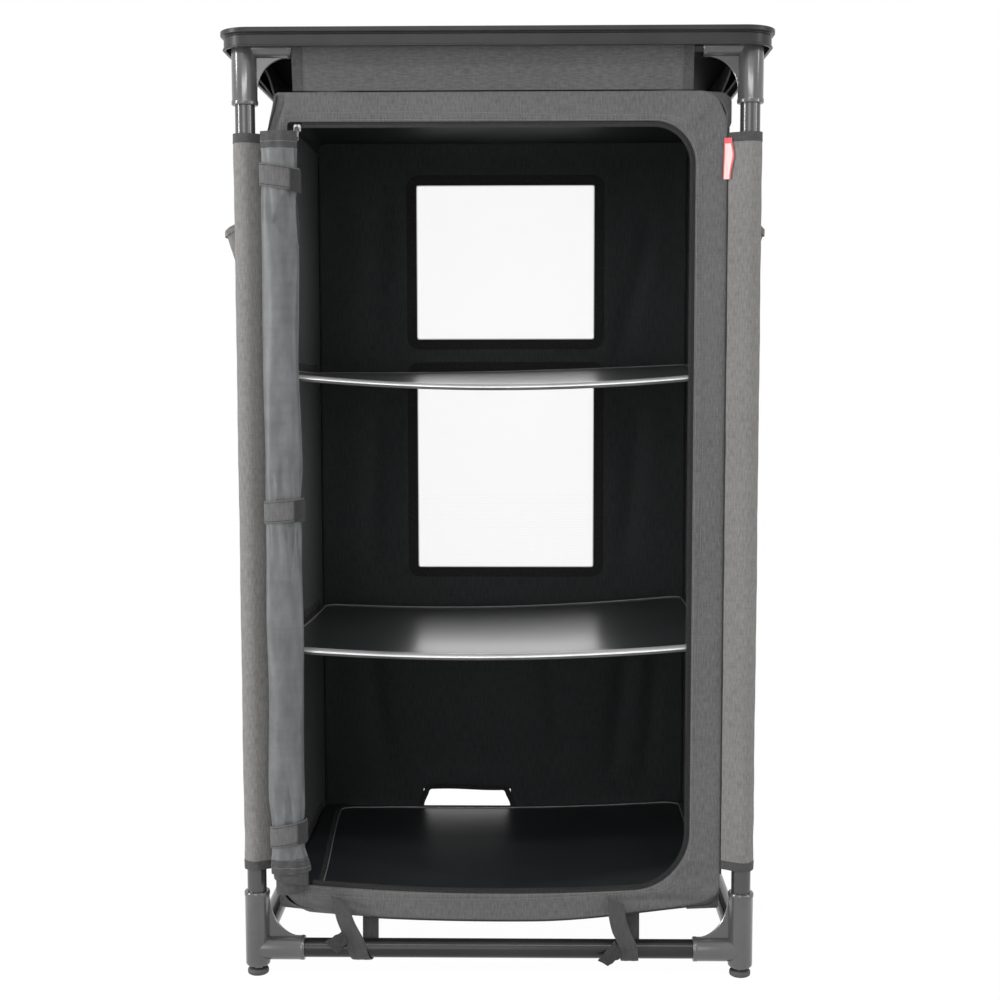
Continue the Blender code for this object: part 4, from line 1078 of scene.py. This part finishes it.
def shelf(title):
    """A glossy cover with a rolled front edge over a textile binding, open behind, and its board.
    Its height is a level, a parabola across, the hang of its front and rear edges, read from left,
    middle and right, and a soft fall near the front."""
    y0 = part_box(title + "_cover")[0][1]
    x1, y1, z1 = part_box(title + "_cover")[1]

    def hung(share, left, middle, right):
        """A parabola through the hang at the left, in the middle and at the right."""
        mean, tip = (right + left) / 2, (right - left) / 2
        return mean * share ** 2 + tip * share + middle * (1 - share ** 2)

    def height(x, y):
        """The height of the cover's top at a place."""
        share = x / x1
        front, rear = (hung(share, *edge) for edge in HANG[title])
        back = ease((y - y0) / (y1 - y0))
        fall = 0.0012 * ease((y - y0) / 0.07) + 0.0022 * ease((y - y0 + 0.004) / 0.017)
        return z1 - 0.008 * (1 - share ** 2) + front * (1 - back) + (rear - 0.0034) * back + fall

    def placed(flat, drop):
        """A flat grid or line laid at the cover's height, lowered by drop."""
        x, y = flat[..., 0], flat[..., 1]
        z = height(x, y) - drop + (0.0004 * ripple(x, y, 1.0, 0.2, 4.0) if drop < 0.003 else 0)
        return np.stack([x, y, z], axis=-1)

    def level(inset, drop):
        """The cover's outline as a grid, drawn in by inset and lowered by drop."""
        return placed(plate(x1 - inset, y0 + inset, y1 - inset, max(0.028 - inset, 0.004)), drop)

    def skirt(levels, part=0):
        """A closed band through the edges of several grids."""
        return shell([border(grid) for grid in levels], wrap=True, flip=True, part=part)

    rounds = [level(*pair) for pair in ((0.0062, 0), (0.0042, 0.0001), (0.0026, 0.0005), (0.0013, 0.0012),
                                        (0.0006, 0.0021), (0.0005, 0.0028), (0.0013, 0.0031))]
    band = [level(*pair) for pair in ((0.0013, 0.0031), (0.0004, 0.0034), (0.0, 0.0042), (0.0001, 0.0050),
                                      (0.0008, 0.0057), (0.0020, 0.0060))]
    top, bottom = rounds[0], band[-1]
    skin = joined(shell(top, flip=True, cloth_map=top[..., :2]), skirt(rounds), skirt(band, 1),
                  shell(bottom, part=1, cloth_map=bottom[..., :2]))
    # On the upper shelves the rolled front edge takes the pale vinyl: a painted highlight along the front
    # edge.
    if title != "floor":
        skin = parted(skin, lambda middle, part: (middle[:, 1] < y0 + 0.0085) & (part == 0), 3)

    def slit(p):
        """Where the cover is open behind, so that its board can slide in."""
        drop = height(p[:, 0], p[:, 1]) - p[:, 2]
        return (p[:, 1] > y1 - 0.003) & (np.abs(p[:, 0]) < x1 - 0.030) & (np.abs(drop - 0.0030) < 0.0016)

    cover = thickened(cut_away(skin, slit), 0.0009, back=2)
    face = floor_vinyl if title == "floor" else vinyl
    build(f"{title}_vinyl", [cover], [face, piping, lining, edge_vinyl_painted_highlight], f"{title}_cover")
    core = [placed(plate(x1 - 0.0046, y0 + 0.0046, y1 - 0.0018, 0.024), drop) for drop in (0.0016, 0.0045)]
    board = joined(shell(core[0], flip=True), skirt(core), shell(core[1]))
    build(f"{title}_plate", [board], fibre_board, f"{title}_board")

    inset = 0.0035
    line = border(plate(x1 - inset, y0 + inset, y1 - inset, 0.0245, runs=(34, 30)))

    def beside(x):
        """The line's point nearest to a side, 40 mm behind the front edge."""
        return int(np.argmin(np.abs(line[:, 0] - x) + np.abs(line[:, 1] - y0 - 0.040)))

    line = np.roll(line, -beside(x1 - inset), axis=0)
    line = line[:beside(inset - x1) + 1]
    if title == "floor":
        left = ease((-0.12 - line[:, 0]) / 0.12)
        line[:, 0] += left * (0.018 + 0.016 * ease((y1 - line[:, 1]) / (y1 - y0)))
        line[:, 1] -= left * 0.010 * ease((line[:, 1] - y1 + 0.06) / 0.06)
    path = placed(line, 0.0001)
    tape = [(0.0028, -0.0003), (0.0028, 0.0004), (-0.0030, 0.0005), (-0.0032, -0.0003)]
    build(f"{title}_edge_tape", [swept(path, tape)], hem_tape)
    bead = (-0.0038, 0.0004) + round_section(0.0008)
    build(f"{title}_piping", [swept(path, bead)], edge_cord)
    y = np.linspace(y0 + 0.034, y1 - 0.030, 30)
    for hand, side in HANDS.items():
        z = height(np.full(30, side * x1), y)
        rows = [np.column_stack([np.full(30, side * (x1 + 0.0002 - inward)), y, z + rise])
                for rise, inward in WALL_TAPE]
        tape = shell(np.stack(rows, axis=1), wrap=True, ends=True)
        build(f"{title}_wall_tape_{hand}", [tape], hem_tape)


for shelf_name in HANG:
    shelf(shelf_name)


# Cloth looped round a tube
def loop_line(center, radius, tip, spread, arc_steps=30, side_steps=9):
    """Open line from a tip, tangent to a circle, round it and back to the tip: the plies' middles
    lie spread apart on both sides of the tip."""
    center, tip = np.array(center, float), np.array(tip, float)
    run = tip - center
    length = math.hypot(*run)
    heading = math.atan2(run[1], run[0])
    lean = math.atan2(spread, length) + math.acos(radius / math.hypot(length, spread))
    turn = heading + np.linspace(lean, TAU - lean, arc_steps)
    ring = center + radius * np.stack([np.cos(turn), np.sin(turn)], axis=1)
    off = np.array([-run[1], run[0]]) / length * spread
    share = np.linspace(0, 1, side_steps)[:-1, None]
    out = (tip + off) * (1 - share) + ring[0] * share
    home = (tip - off) * (1 - share) + ring[-1] * share
    return np.concatenate([out, ring, home[::-1]])


def carried(line, run, axis):
    """A grid whose rows are a line of two places at each station along an axis."""
    a, b, c = np.broadcast_arrays(line[None, :, 0], line[None, :, 1], np.asarray(run)[:, None])
    return np.stack({"X": (c, a, b), "Y": (a, c, b), "Z": (a, b, c)}[axis], axis=-1)


def looped(title, node, line, run, axis, relief, material, thickness=0.0012, ends=0.011):
    """A loop of cloth round a tube, with folds along its plies and a binding at both its ends."""
    grid = carried(line, run, axis)
    along = run_along(line)
    free = ease(along / 0.012) * ease((along[-1] - along) / 0.012)
    run_grid, along_grid = np.meshgrid(run, along, indexing="ij")
    normals = grid_normals(grid)
    half = len(line) // 2
    outer = np.insert(line[half] - line.mean(axis=0), "XYZ".index(axis), 0)
    way = 1.0 if float(np.dot(normals[0, half], outer)) > 0 else -1.0
    away = normals * (relief(run_grid, along_grid) * free[None])[..., None]
    grid = grid + away * way
    cloth_map = np.stack([along_grid, run_grid], axis=-1)
    made = thickened(shell(grid, cloth_map=cloth_map, flip=way < 0), thickness, middle=True)
    piece = build(title, [made], material, node)
    bands = []
    for near in (run <= run[0] + ends, run >= run[-1] - ends):
        strip = shell(grid[near], cloth_map=cloth_map[near], flip=way < 0)
        bands.append(thickened(strip, thickness + 0.0009, middle=True))
    build(title + "_binding", bands, binding)
    return piece


def valances():
    """Four cloths that hang the box from the top rails."""
    plans = {"front": (FACE_Y + 0.0008, 0.3), "rear": (REAR_Y - 0.0008, 1.7),
             "left": (-BOX_X + 0.0008, 2.9), "right": (BOX_X - 0.0008, 4.1)}
    made = []
    for side, (tip, seed) in plans.items():
        low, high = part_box(f"valance_{side}")
        rail = np.mean(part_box(f"top_rail_{side}"), axis=0)
        along = 0 if side in ("front", "rear") else 1
        start, stop = low[along], high[along]
        line = loop_line((rail[1 - along], rail[2]), 0.0095, (tip, BOX_TOP + 0.0014), 0.0006)
        run = stations((start, start + 0.011, stop - 0.011, stop), 0.0045)

        def relief(t, s):
            near = np.clip(np.abs(t - (start + stop) / 2) / ((stop - start) / 2), 0, 1) ** 3
            out = ripple(t, s, 0.0005, 0.07, seed)
            return out + 0.0006 * near * np.sin((t + 0.9 * s) * TAU / 0.034 + seed)

        # The valances take the darker copy of the outer cloth: painted shade under the tabletop.
        made.append(looped(f"{side}_valance", f"valance_{side}", line, run, "XY"[along], relief,
                           valance_cloth_painted_shade))
    return made


def sleeves():
    """Cloth sleeves round the legs, sewn to the corners of the box."""
    for name, (sx, sy) in CORNERS.items():
        low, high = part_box(f"leg_sleeve_{name}")
        foot, head = low[2], high[2]
        tip = (sx * (BOX_X + 0.0012), FACE_Y + 0.0008) if sy < 0 else (sx * (BOX_X + 0.0006), REAR_Y + 0.0004)
        line = loop_line((sx * LEG_X, sy * LEG_Y), 0.0128, tip, 0.0008, 34, 8)
        run = stations((foot, foot + 0.010, head - 0.010, head), 0.0065)
        seed = sx + 2 * sy

        def relief(t, s):
            end = np.exp(-np.abs(t - foot) / 0.05) + np.exp(-np.abs(head - t) / 0.05)
            out = ripple(t, s * 1.6, 0.0004, 0.12, seed)
            out = out + 0.0004 * end * np.sin((s + 0.35 * t) * TAU / 0.017 + seed)
            return out + 0.0001 * np.sin(t * TAU / 0.045 + 30 * s)

        looped(f"{name}_sleeve", f"leg_sleeve_{name}", line, run, "Z", relief, sleeve_cloth,
               0.0011, 0.010)


valance_pieces = valances()
sleeves()


# Rolled door and its straps
ROLL_LOW, ROLL_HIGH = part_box("door_roll")[0][2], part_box("door_roll")[1][2]
STRAPS = {name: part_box(f"door_strap_{name}") for name in ("upper", "middle", "lower")}
ROLL_X, ROLL_Y = np.mean(STRAPS["upper"], axis=0)[:2] - (0, 0.0010)
ROLL_MIDDLE = ROLL_X + 0.0012
ROLL_TURNS = 7
STRAP_Z = [np.mean(box, axis=0)[2] for box in STRAPS.values()]


def roll_size(z):
    """Half width and half depth of the roll at a height, drawn in at each strap, most at the lowest;
    how free of the straps it is; and how far away the nearest strap is."""
    near = np.min([np.abs(z - height) for height in STRAP_Z], axis=0)
    free = ease((near - 0.01325) / 0.040)
    share = 1 - (0.08 + 0.07 * np.exp(-((z - STRAP_Z[2]) / 0.03) ** 2)) * (1 - free)
    return 0.0224 * share, 0.0124 * share, free, near


def dent(side, z, top, tip, center, wide, depth):
    """A three-sided hollow in the front of the roll: widest and deepest at the top, with a crisp
    left edge and a point at its foot."""
    share = np.clip((z - tip) / (top - tip), 0, 1)
    away = (side - center) / (wide * share + 0.02)
    shape = np.clip(1 - np.where(away < 0, (away / 0.62) ** 4, away ** 2), 0, 1)
    return depth * shape * share ** 0.6 * (z < top)


def facet(x, z, corner, first, second, deepest):
    """A hollow between two creases that meet at a corner: steep beside the nearer crease and level
    further in, deepest * (1 - exp(-distance / deepest)). first and second are the creases' far ends."""
    depth = []
    for end, way in ((first, 1), (second, -1)):
        run = unit(np.subtract(end, corner))
        depth.append(way * ((x - corner[0]) * run[1] - (z - corner[1]) * run[0]))
    return deepest * (1 - np.exp(-np.maximum(np.minimum(*depth), 0) / deepest))


def roll_point(turn, z, out):
    """A point of the spiral: turn counts from the back, the folds fade under the straps, and the
    spiral draws in evenly, by 1 - 0.86 * turn / ROLL_TURNS."""
    angle = math.pi / 2 + TAU * turn
    half_x, half_y, free, near = roll_size(z)
    side, facing = np.cos(angle), ease(-np.sin(angle) / 0.35)
    fold = 0.0008 * np.cos(3 * angle + 9 * math.pi * (z - ROLL_LOW) / 1.05)
    fold = fold + 0.0005 * np.cos(5 * angle - 14 * z + 1.0) + 0.0005 * np.cos(2 * angle + 31 * z)
    tight = np.exp(-((near - 0.030) / 0.022) ** 2)
    fold = fold * free + 0.0009 * tight * np.cos(9 * angle + 40 * z) - 0.0012 * free
    hollow = facet(side * half_x, z, (-0.0087, 0.845), (0.0089, 0.880), (0.0220, 0.812), 0.0070)
    hollow = hollow * ease((0.8885 - z) / 0.010)
    # Each dent: height, top, tip, centre, width and depth. A height taken off a sum points it upwards.
    dents = ((z, 0.528, 0.455, 0.35, 0.50, 0.0046), (1.06 - z, 0.5285, 0.470, -0.10, 0.50, 0.0026),
             (0.335 - z, 0.167, 0.110, 0.10, 0.55, 0.0036), (z, 0.166, 0.134, 0.25, 0.55, 0.0040))
    for height, *shape in dents:
        hollow = hollow + dent(side, height, *shape)
    low = ease(1 - (z - ROLL_LOW - 0.004) / 0.034)
    flare = 0.0042 * low * side * (0.75 + 0.25 * side)
    scale = 1 - 0.86 * turn / ROLL_TURNS
    x = ROLL_MIDDLE + ((half_x + fold + out) * side + flare + 0.0012 * low) * scale
    y = ROLL_Y + ((half_y + fold * 0.8 + out) * np.sin(angle) + hollow * facing) * scale
    return x, y


def rolled_door():
    """The door's cloth wound in a spiral of seven turns, its inner turns a little longer."""
    outer, inner = 64, 22
    turn = np.concatenate([np.arange(outer) / outer, 1 + np.arange((ROLL_TURNS - 1) * inner + 1) / inner])
    share = np.concatenate([stations((0, 0.0205, 0.12), 0.0036), stations((0.12, 0.84), 0.0062)[1:],
                            stations((0.84, 0.94), 0.0026)[1:], stations((0.94, 0.978, 1), 0.0050)[1:]])
    low = ROLL_LOW + 0.0050 + 0.0015 * np.sin(TAU * turn + 2.2) - 0.0240 * ease((turn - 0.9) / 1.3)
    high = ROLL_HIGH - 0.0010 * ease((turn - 0.5) / 2)
    turn_grid, share_grid = np.meshgrid(turn, share)
    z = low[None] + (high - low)[None] * share_grid
    grid = np.stack([*roll_point(turn_grid, z, -0.0006), z], axis=-1)
    cloth_map = np.stack([turn_grid * 0.06, z], axis=-1)
    low_hem = np.flatnonzero(share <= 0.0206)
    high_hem = np.flatnonzero(share >= 0.9779)
    between = np.arange(low_hem[-1], high_hem[0] + 1)
    shells = [shell(grid[rows], cloth_map=cloth_map[rows], part=part)
              for rows, part in ((low_hem, 1), (between, 0), (high_hem, 1))]
    made = thickened(joined(*shells), 0.0008, back=2, middle=True)
    piece = build("rolled_door", [made], [door_cloth, binding, lining], "door_roll")
    turn = np.linspace(0.02, 0.98, 120)
    for title, height in (("high", ROLL_HIGH - 0.0190), ("middle", ROLL_HIGH - 0.0110),
                          ("low", ROLL_LOW + 0.0200), ("foot", ROLL_LOW + 0.0110)):
        z = np.full(len(turn), height)
        line = np.column_stack([*roll_point(turn, z, 0.0001), z])
        stitches(f"roll_hem_seam_{title}", line, (0, -1, 0), pitch=0.0030)
    return piece


def door_straps():
    """Bands that hold the roll, each a little askew, with a dark closing flap at its right end. A
    plan is the slope, how far it has slipped down, half its width and half its depth."""
    plans = {"upper": (-0.15, 0.0030, 0.0213, 0.0122), "middle": (0.09, 0, 0.0213, 0.0122),
             "lower": (0.20, 0, 0.0198, 0.0114)}
    for name, (slope, slipped, half_x, half_y) in plans.items():
        low, high = STRAPS[name]
        middle, half = (low[2] + high[2]) / 2 - slipped, (high[2] - low[2]) / 2
        across = np.array([-1, -0.93, -0.5, 0, 0.5, 0.93, 1]) * half * 0.93
        crown = np.array([0.0006, 0.0009, 0.0010, 0.0010, 0.0010, 0.0009, 0.0006])

        def ring(turn, rise, width, skew=0.0):
            """A line round the roll, rise proud of it and width above the strap's middle."""
            x = ROLL_MIDDLE + (half_x + rise) * np.cos(turn)
            y = ROLL_Y + (half_y + rise) * np.sin(turn)
            z = middle + width + (x - ROLL_X) * (slope + skew)
            return np.stack([x, y, z], axis=-1)

        turn = np.arange(72) * TAU / 72
        grid = np.stack([ring(turn, rise, width) for rise, width in zip(crown, across)])
        band = thickened(shell(grid, wrap=True), 0.0008)
        build(f"{name}_strap", [band], strap_weave, f"door_strap_{name}")
        turn = np.linspace(-0.98, 0.30, 22)
        grid = np.stack([ring(turn, 0.0020, width * 0.96 - 0.0006, -0.05) for width in across])
        build(f"{name}_strap_flap", [thickened(shell(grid), 0.0008)], fuzz)
        turn = np.linspace(-math.pi, 0, 60)
        for edge, place in (("low", -0.78), ("high", 0.78)):
            stitches(f"{name}_strap_seam_{edge}", ring(turn, 0.0011, place * half), (0, -1, 0),
                     pitch=0.0030, material=hem_tape)


roll_piece = rolled_door()
door_straps()


# Straps that tie the box to the front rail
def tie_straps():
    """Each runs from the hem down in front of the rail, under it and up behind, with a loose end.
    A plan is x, z and half the width in mm down its front, x and half the width behind the rail, and
    the corners of its loose end."""
    rail_y, rail_z, wrap = -LEG_Y, 0.030, 0.0125
    plans = {"left": (((-0.1811, 0.0905, 7.6), (-0.1772, 0.0800, 8.8), (-0.1668, 0.0530, 10.2),
                       (-0.1598, 0.0345, 11.0)), (-0.1466, 9.0),
                      ((-0.1950, 0.0428), (-0.1745, 0.0560), (-0.1700, 0.0420), (-0.1816, 0.0305))),
             "right": (((0.1318, 0.0895, 9.0), (0.1328, 0.0800, 9.2), (0.1390, 0.0530, 10.2),
                        (0.1465, 0.0345, 10.6)), (0.1520, 8.6),
                       ((0.1122, 0.0225), (0.1310, 0.0450), (0.1390, 0.0270), (0.1236, 0.0172)))}
    across = np.array([-1, -0.9, -0.45, 0, 0.45, 0.9, 1])
    crown = np.array([0, 0.0002, 0.0004, 0.0002, 0.0005, 0.0002, 0])
    sideways = np.array([1.0, 0, 0])
    even = np.linspace(0, 3, 25)
    angle, share = np.radians(np.linspace(165, 372, 26)), np.linspace(0, 1, 26)
    for side, (front, (x_behind, half_behind), loose) in plans.items():
        front_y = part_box(f"tie_strap_{side}")[0][1]
        marks = np.array([(x, front_y + 0.0009, z, half / 1000) for x, z, half in front])
        rows = np.stack([np.interp(even, range(4), marks[:, i]) for i in range(4)], axis=1)
        rows[:, 0] += 0.0008 * np.sin(even * math.pi)
        rows[:, 1] += 0.0020 * ease((rows[:, 2] - 0.062) / 0.014)
        behind = np.array((x_behind, rail_y + wrap + 0.002, 0.0665, half_behind / 1000))
        x, half = (marks[3, i] + (behind[i] - marks[3, i]) * share for i in (0, 3))
        ring = np.stack([x, rail_y + wrap * np.cos(angle), rail_z + wrap * np.sin(angle), half], axis=1)
        line = np.concatenate([rows, ring, np.linspace(ring[-1], behind, 7)[1:]])
        normal = unit(np.cross(np.gradient(line[:, :3], axis=0), sideways))
        out = -1.0 if normal[2, 1] > 0 else 1.0
        spread = sideways * (across[:, None] * line[:, None, 3:])
        grid = line[:, None, :3] + spread + normal[:, None] * crown[:, None] * out
        grid[..., 2] -= 0.0040 * across * ease((grid[..., 2] - 0.074) / 0.016)
        band = thickened(shell(grid), 0.0014, middle=True)
        build(f"{side}_tie", [band], tie_weave, f"tie_strap_{side}")
        a, b, c, d = np.array(loose)
        s, t = np.meshgrid(np.linspace(0, 1, 16), np.linspace(0, 1, 16))
        s, t = s[..., None], t[..., None]
        flat = (a * (1 - s) + b * s) * (1 - t) + (d * (1 - s) + c * s) * t
        y = front_y - 0.0030 - 0.0006 * np.sin(s * 9) * np.cos(t * 7) - 0.0030 * (1 - s) * t
        grid = np.concatenate([flat[..., :1], y, flat[..., 1:] + 0.0005 * np.sin(s * 15)], axis=-1)
        build(f"{side}_tie_end", [thickened(shell(grid), 0.0012)], fuzz)


tie_straps()


# Side pockets
def side_pockets():
    """A pouch on each side wall: its face leans out to an elastic mouth, and its ends are folded."""
    wall = BOX_X + 0.0003
    even = np.linspace(0, 1, 90)
    bow = np.sin(even * math.pi) ** 2
    section = [(0.0018, -0.0032), (-0.0005, -0.0032), (-0.0005, 0.0030), (0.0006, 0.0036), (0.0018, 0.0030)]
    for title, side in HANDS.items():
        low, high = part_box(f"side_pocket_{title}")
        reach = high[0] - low[0] + (0.0036 if side < 0 else 0.0012)
        z = stations((low[2], high[2]), 0.006)
        share = (z - low[2]) / (high[2] - low[2])
        depth = 0.0040 + (reach - 0.0040) * share ** 1.2
        rows = []
        for height, out, part in zip(z, depth, share):
            corner = min(out * 0.6, 0.012 - 0.007 * part)
            line = filleted([(0, low[1] + 0.0004), (out, low[1] + 0.0010),
                             (out, high[1] - 0.0010), (0, high[1] - 0.0004)], corner, 6)
            run = run_along(line)
            x, y = (np.interp(even, run / run[-1], line[:, i]) for i in range(2))
            inward = 0.0040 * bow * (math.sin(part * math.pi) * 0.6 + 0.4 * part)
            inward = inward + 0.0006 * np.sin(y * TAU / 0.021) * ease((part - 0.75) / 0.25) * bow
            hang = 0.0120 * (x / reach) ** 4 * ease((height - high[2] + 0.06) / 0.06)
            rows.append(np.column_stack([side * (wall + np.maximum(x - inward, 0)), y, height - hang]))
        at_wall = rows[0].copy()
        at_wall[:, 0] = side * wall
        foot = shell([rows[0], at_wall], flip=side > 0)
        pouch = thickened(joined(shell(rows, flip=side < 0), foot), 0.0013)
        pocket = build(f"{title}_pocket", [pouch], [sleeve_cloth, lining], f"side_pocket_{title}")
        mouth = rows[-1] - (0, 0, 0.0028)
        if side > 0:
            mouth = mouth[::-1]
        build(f"{title}_pocket_mouth", [swept(mouth, section)], sleeve_cloth)


side_pockets()


# Zip slider, its pull and the side tag
def slider():
    """A bevelled slider body with a bridge."""
    low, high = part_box("zip_slider")
    x, z = (low[0] + high[0]) / 2, (low[2] + high[2]) / 2
    corner = (high[0] - low[0]) / 4
    rows = []
    for inset, drop in ((0.0010, 0.0), (0.0001, 0.0005), (0.0, 0.0012), (0.0004, 0.0018), (0.0022, 0.0021)):
        edge = (low[0] + inset, high[0] - inset, low[2] + inset, high[2] - inset)
        rows.append(stood(round_rect(*edge, (corner - inset * 0.4,) * 4, 6), high[1] - drop))
    bridge = filleted([(x, high[1] - 0.0018, z + 0.0034), (x, low[1] + 0.0004, z + 0.0030),
                       (x, low[1] + 0.0004, z - 0.0016), (x, high[1] - 0.0018, z - 0.0030)], 0.0012, 5)
    flat_wire = round_section(1.0, 10) * (0.0011, 0.0005)
    shells = [shell(rows, wrap=True, ends=True), swept(bridge, flat_wire, (1, 0, 0))]
    build("slider", shells, zinc, "zip_slider")


def pull():
    """A flat tab with a round hole near its foot, which hangs from the slider and leans outwards."""
    pivot, tilt = np.array((-0.2172, -0.2243, 0.9487)), math.radians(19)
    half, length, bevel, thick = 0.0026, 0.0150, 0.0003, 0.0006
    line = round_rect(-half, half, -length - half, 0.0, (half,) * 4, 9, (2, 12, 2, 12))
    face = line * (1 - bevel / half) + np.array((0, -half - 0.5 * length)) * (bevel / half)
    turn = np.arctan2(line[:, 1] + length, line[:, 0])
    hole = (0, -length) + half / 2 * np.stack([np.cos(turn), np.sin(turn)], axis=1)
    rows = []
    for outline, depth in ((face, thick), (line, bevel), (line, -bevel), (face, -thick), (hole, -thick),
                           (hole, thick), (face, thick)):
        y = outline[:, 1] * math.sin(tilt) + depth * math.cos(tilt)
        z = outline[:, 1] * math.cos(tilt) - depth * math.sin(tilt)
        rows.append(np.column_stack([outline[:, 0], y, z]) + pivot)
    build("pull", [joined(shell(rows, wrap=True))], dark_zinc, "zip_pull", "zip_pull")


def side_tag():
    """A plain folded tag over the corner seam: its edges woven red, its middle pale. Its width is
    a bell over its height, and it leans back from the panel along the sleeve."""
    low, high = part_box("side_tag")

    def span(z):
        """The share of the tag's height, where the tag starts there, and how wide it is."""
        up = (z - low[2]) / (high[2] - low[2])
        return up, low[0] - 0.0024 + 0.0010 * up, 0.0076 + 0.0030 * np.exp(-((up - 0.52) / 0.26) ** 2)

    def pale(middle, part):
        """Whether a face lies in the pale middle."""
        up, start, width = span(middle[:, 2])
        across = (middle[:, 0] - start) / width
        return (across > 0.10) & (across < 0.80) & (up < 0.84)

    heights = stations((low[2] - 0.0030, high[2] - 0.0056, high[2] - 0.0008), 0.0014)
    columns = (0, 0.03, 0.11, 0.18, 0.40, 0.58, 0.66, 0.84, 0.97, 1)
    share, z = np.meshgrid(columns, heights)
    up, start, width = span(z)
    x = start + share * width
    lean = 0.55 * np.maximum(x - BOX_X, 0)
    y = low[1] + 0.0002 - lean - 0.0008 * np.sin(up * 7) * share + 0.0012 * ease((up - 0.9) / 0.1)
    grid = np.stack([x, np.minimum(y, FACE_Y - 0.0024 - lean), z], axis=-1)
    tag = parted(thickened(shell(grid), 0.0009, back=0), pale, 1)
    build("tag", [tag], [tag_red, tag_pale], "side_tag")


slider()
pull()
side_tag()
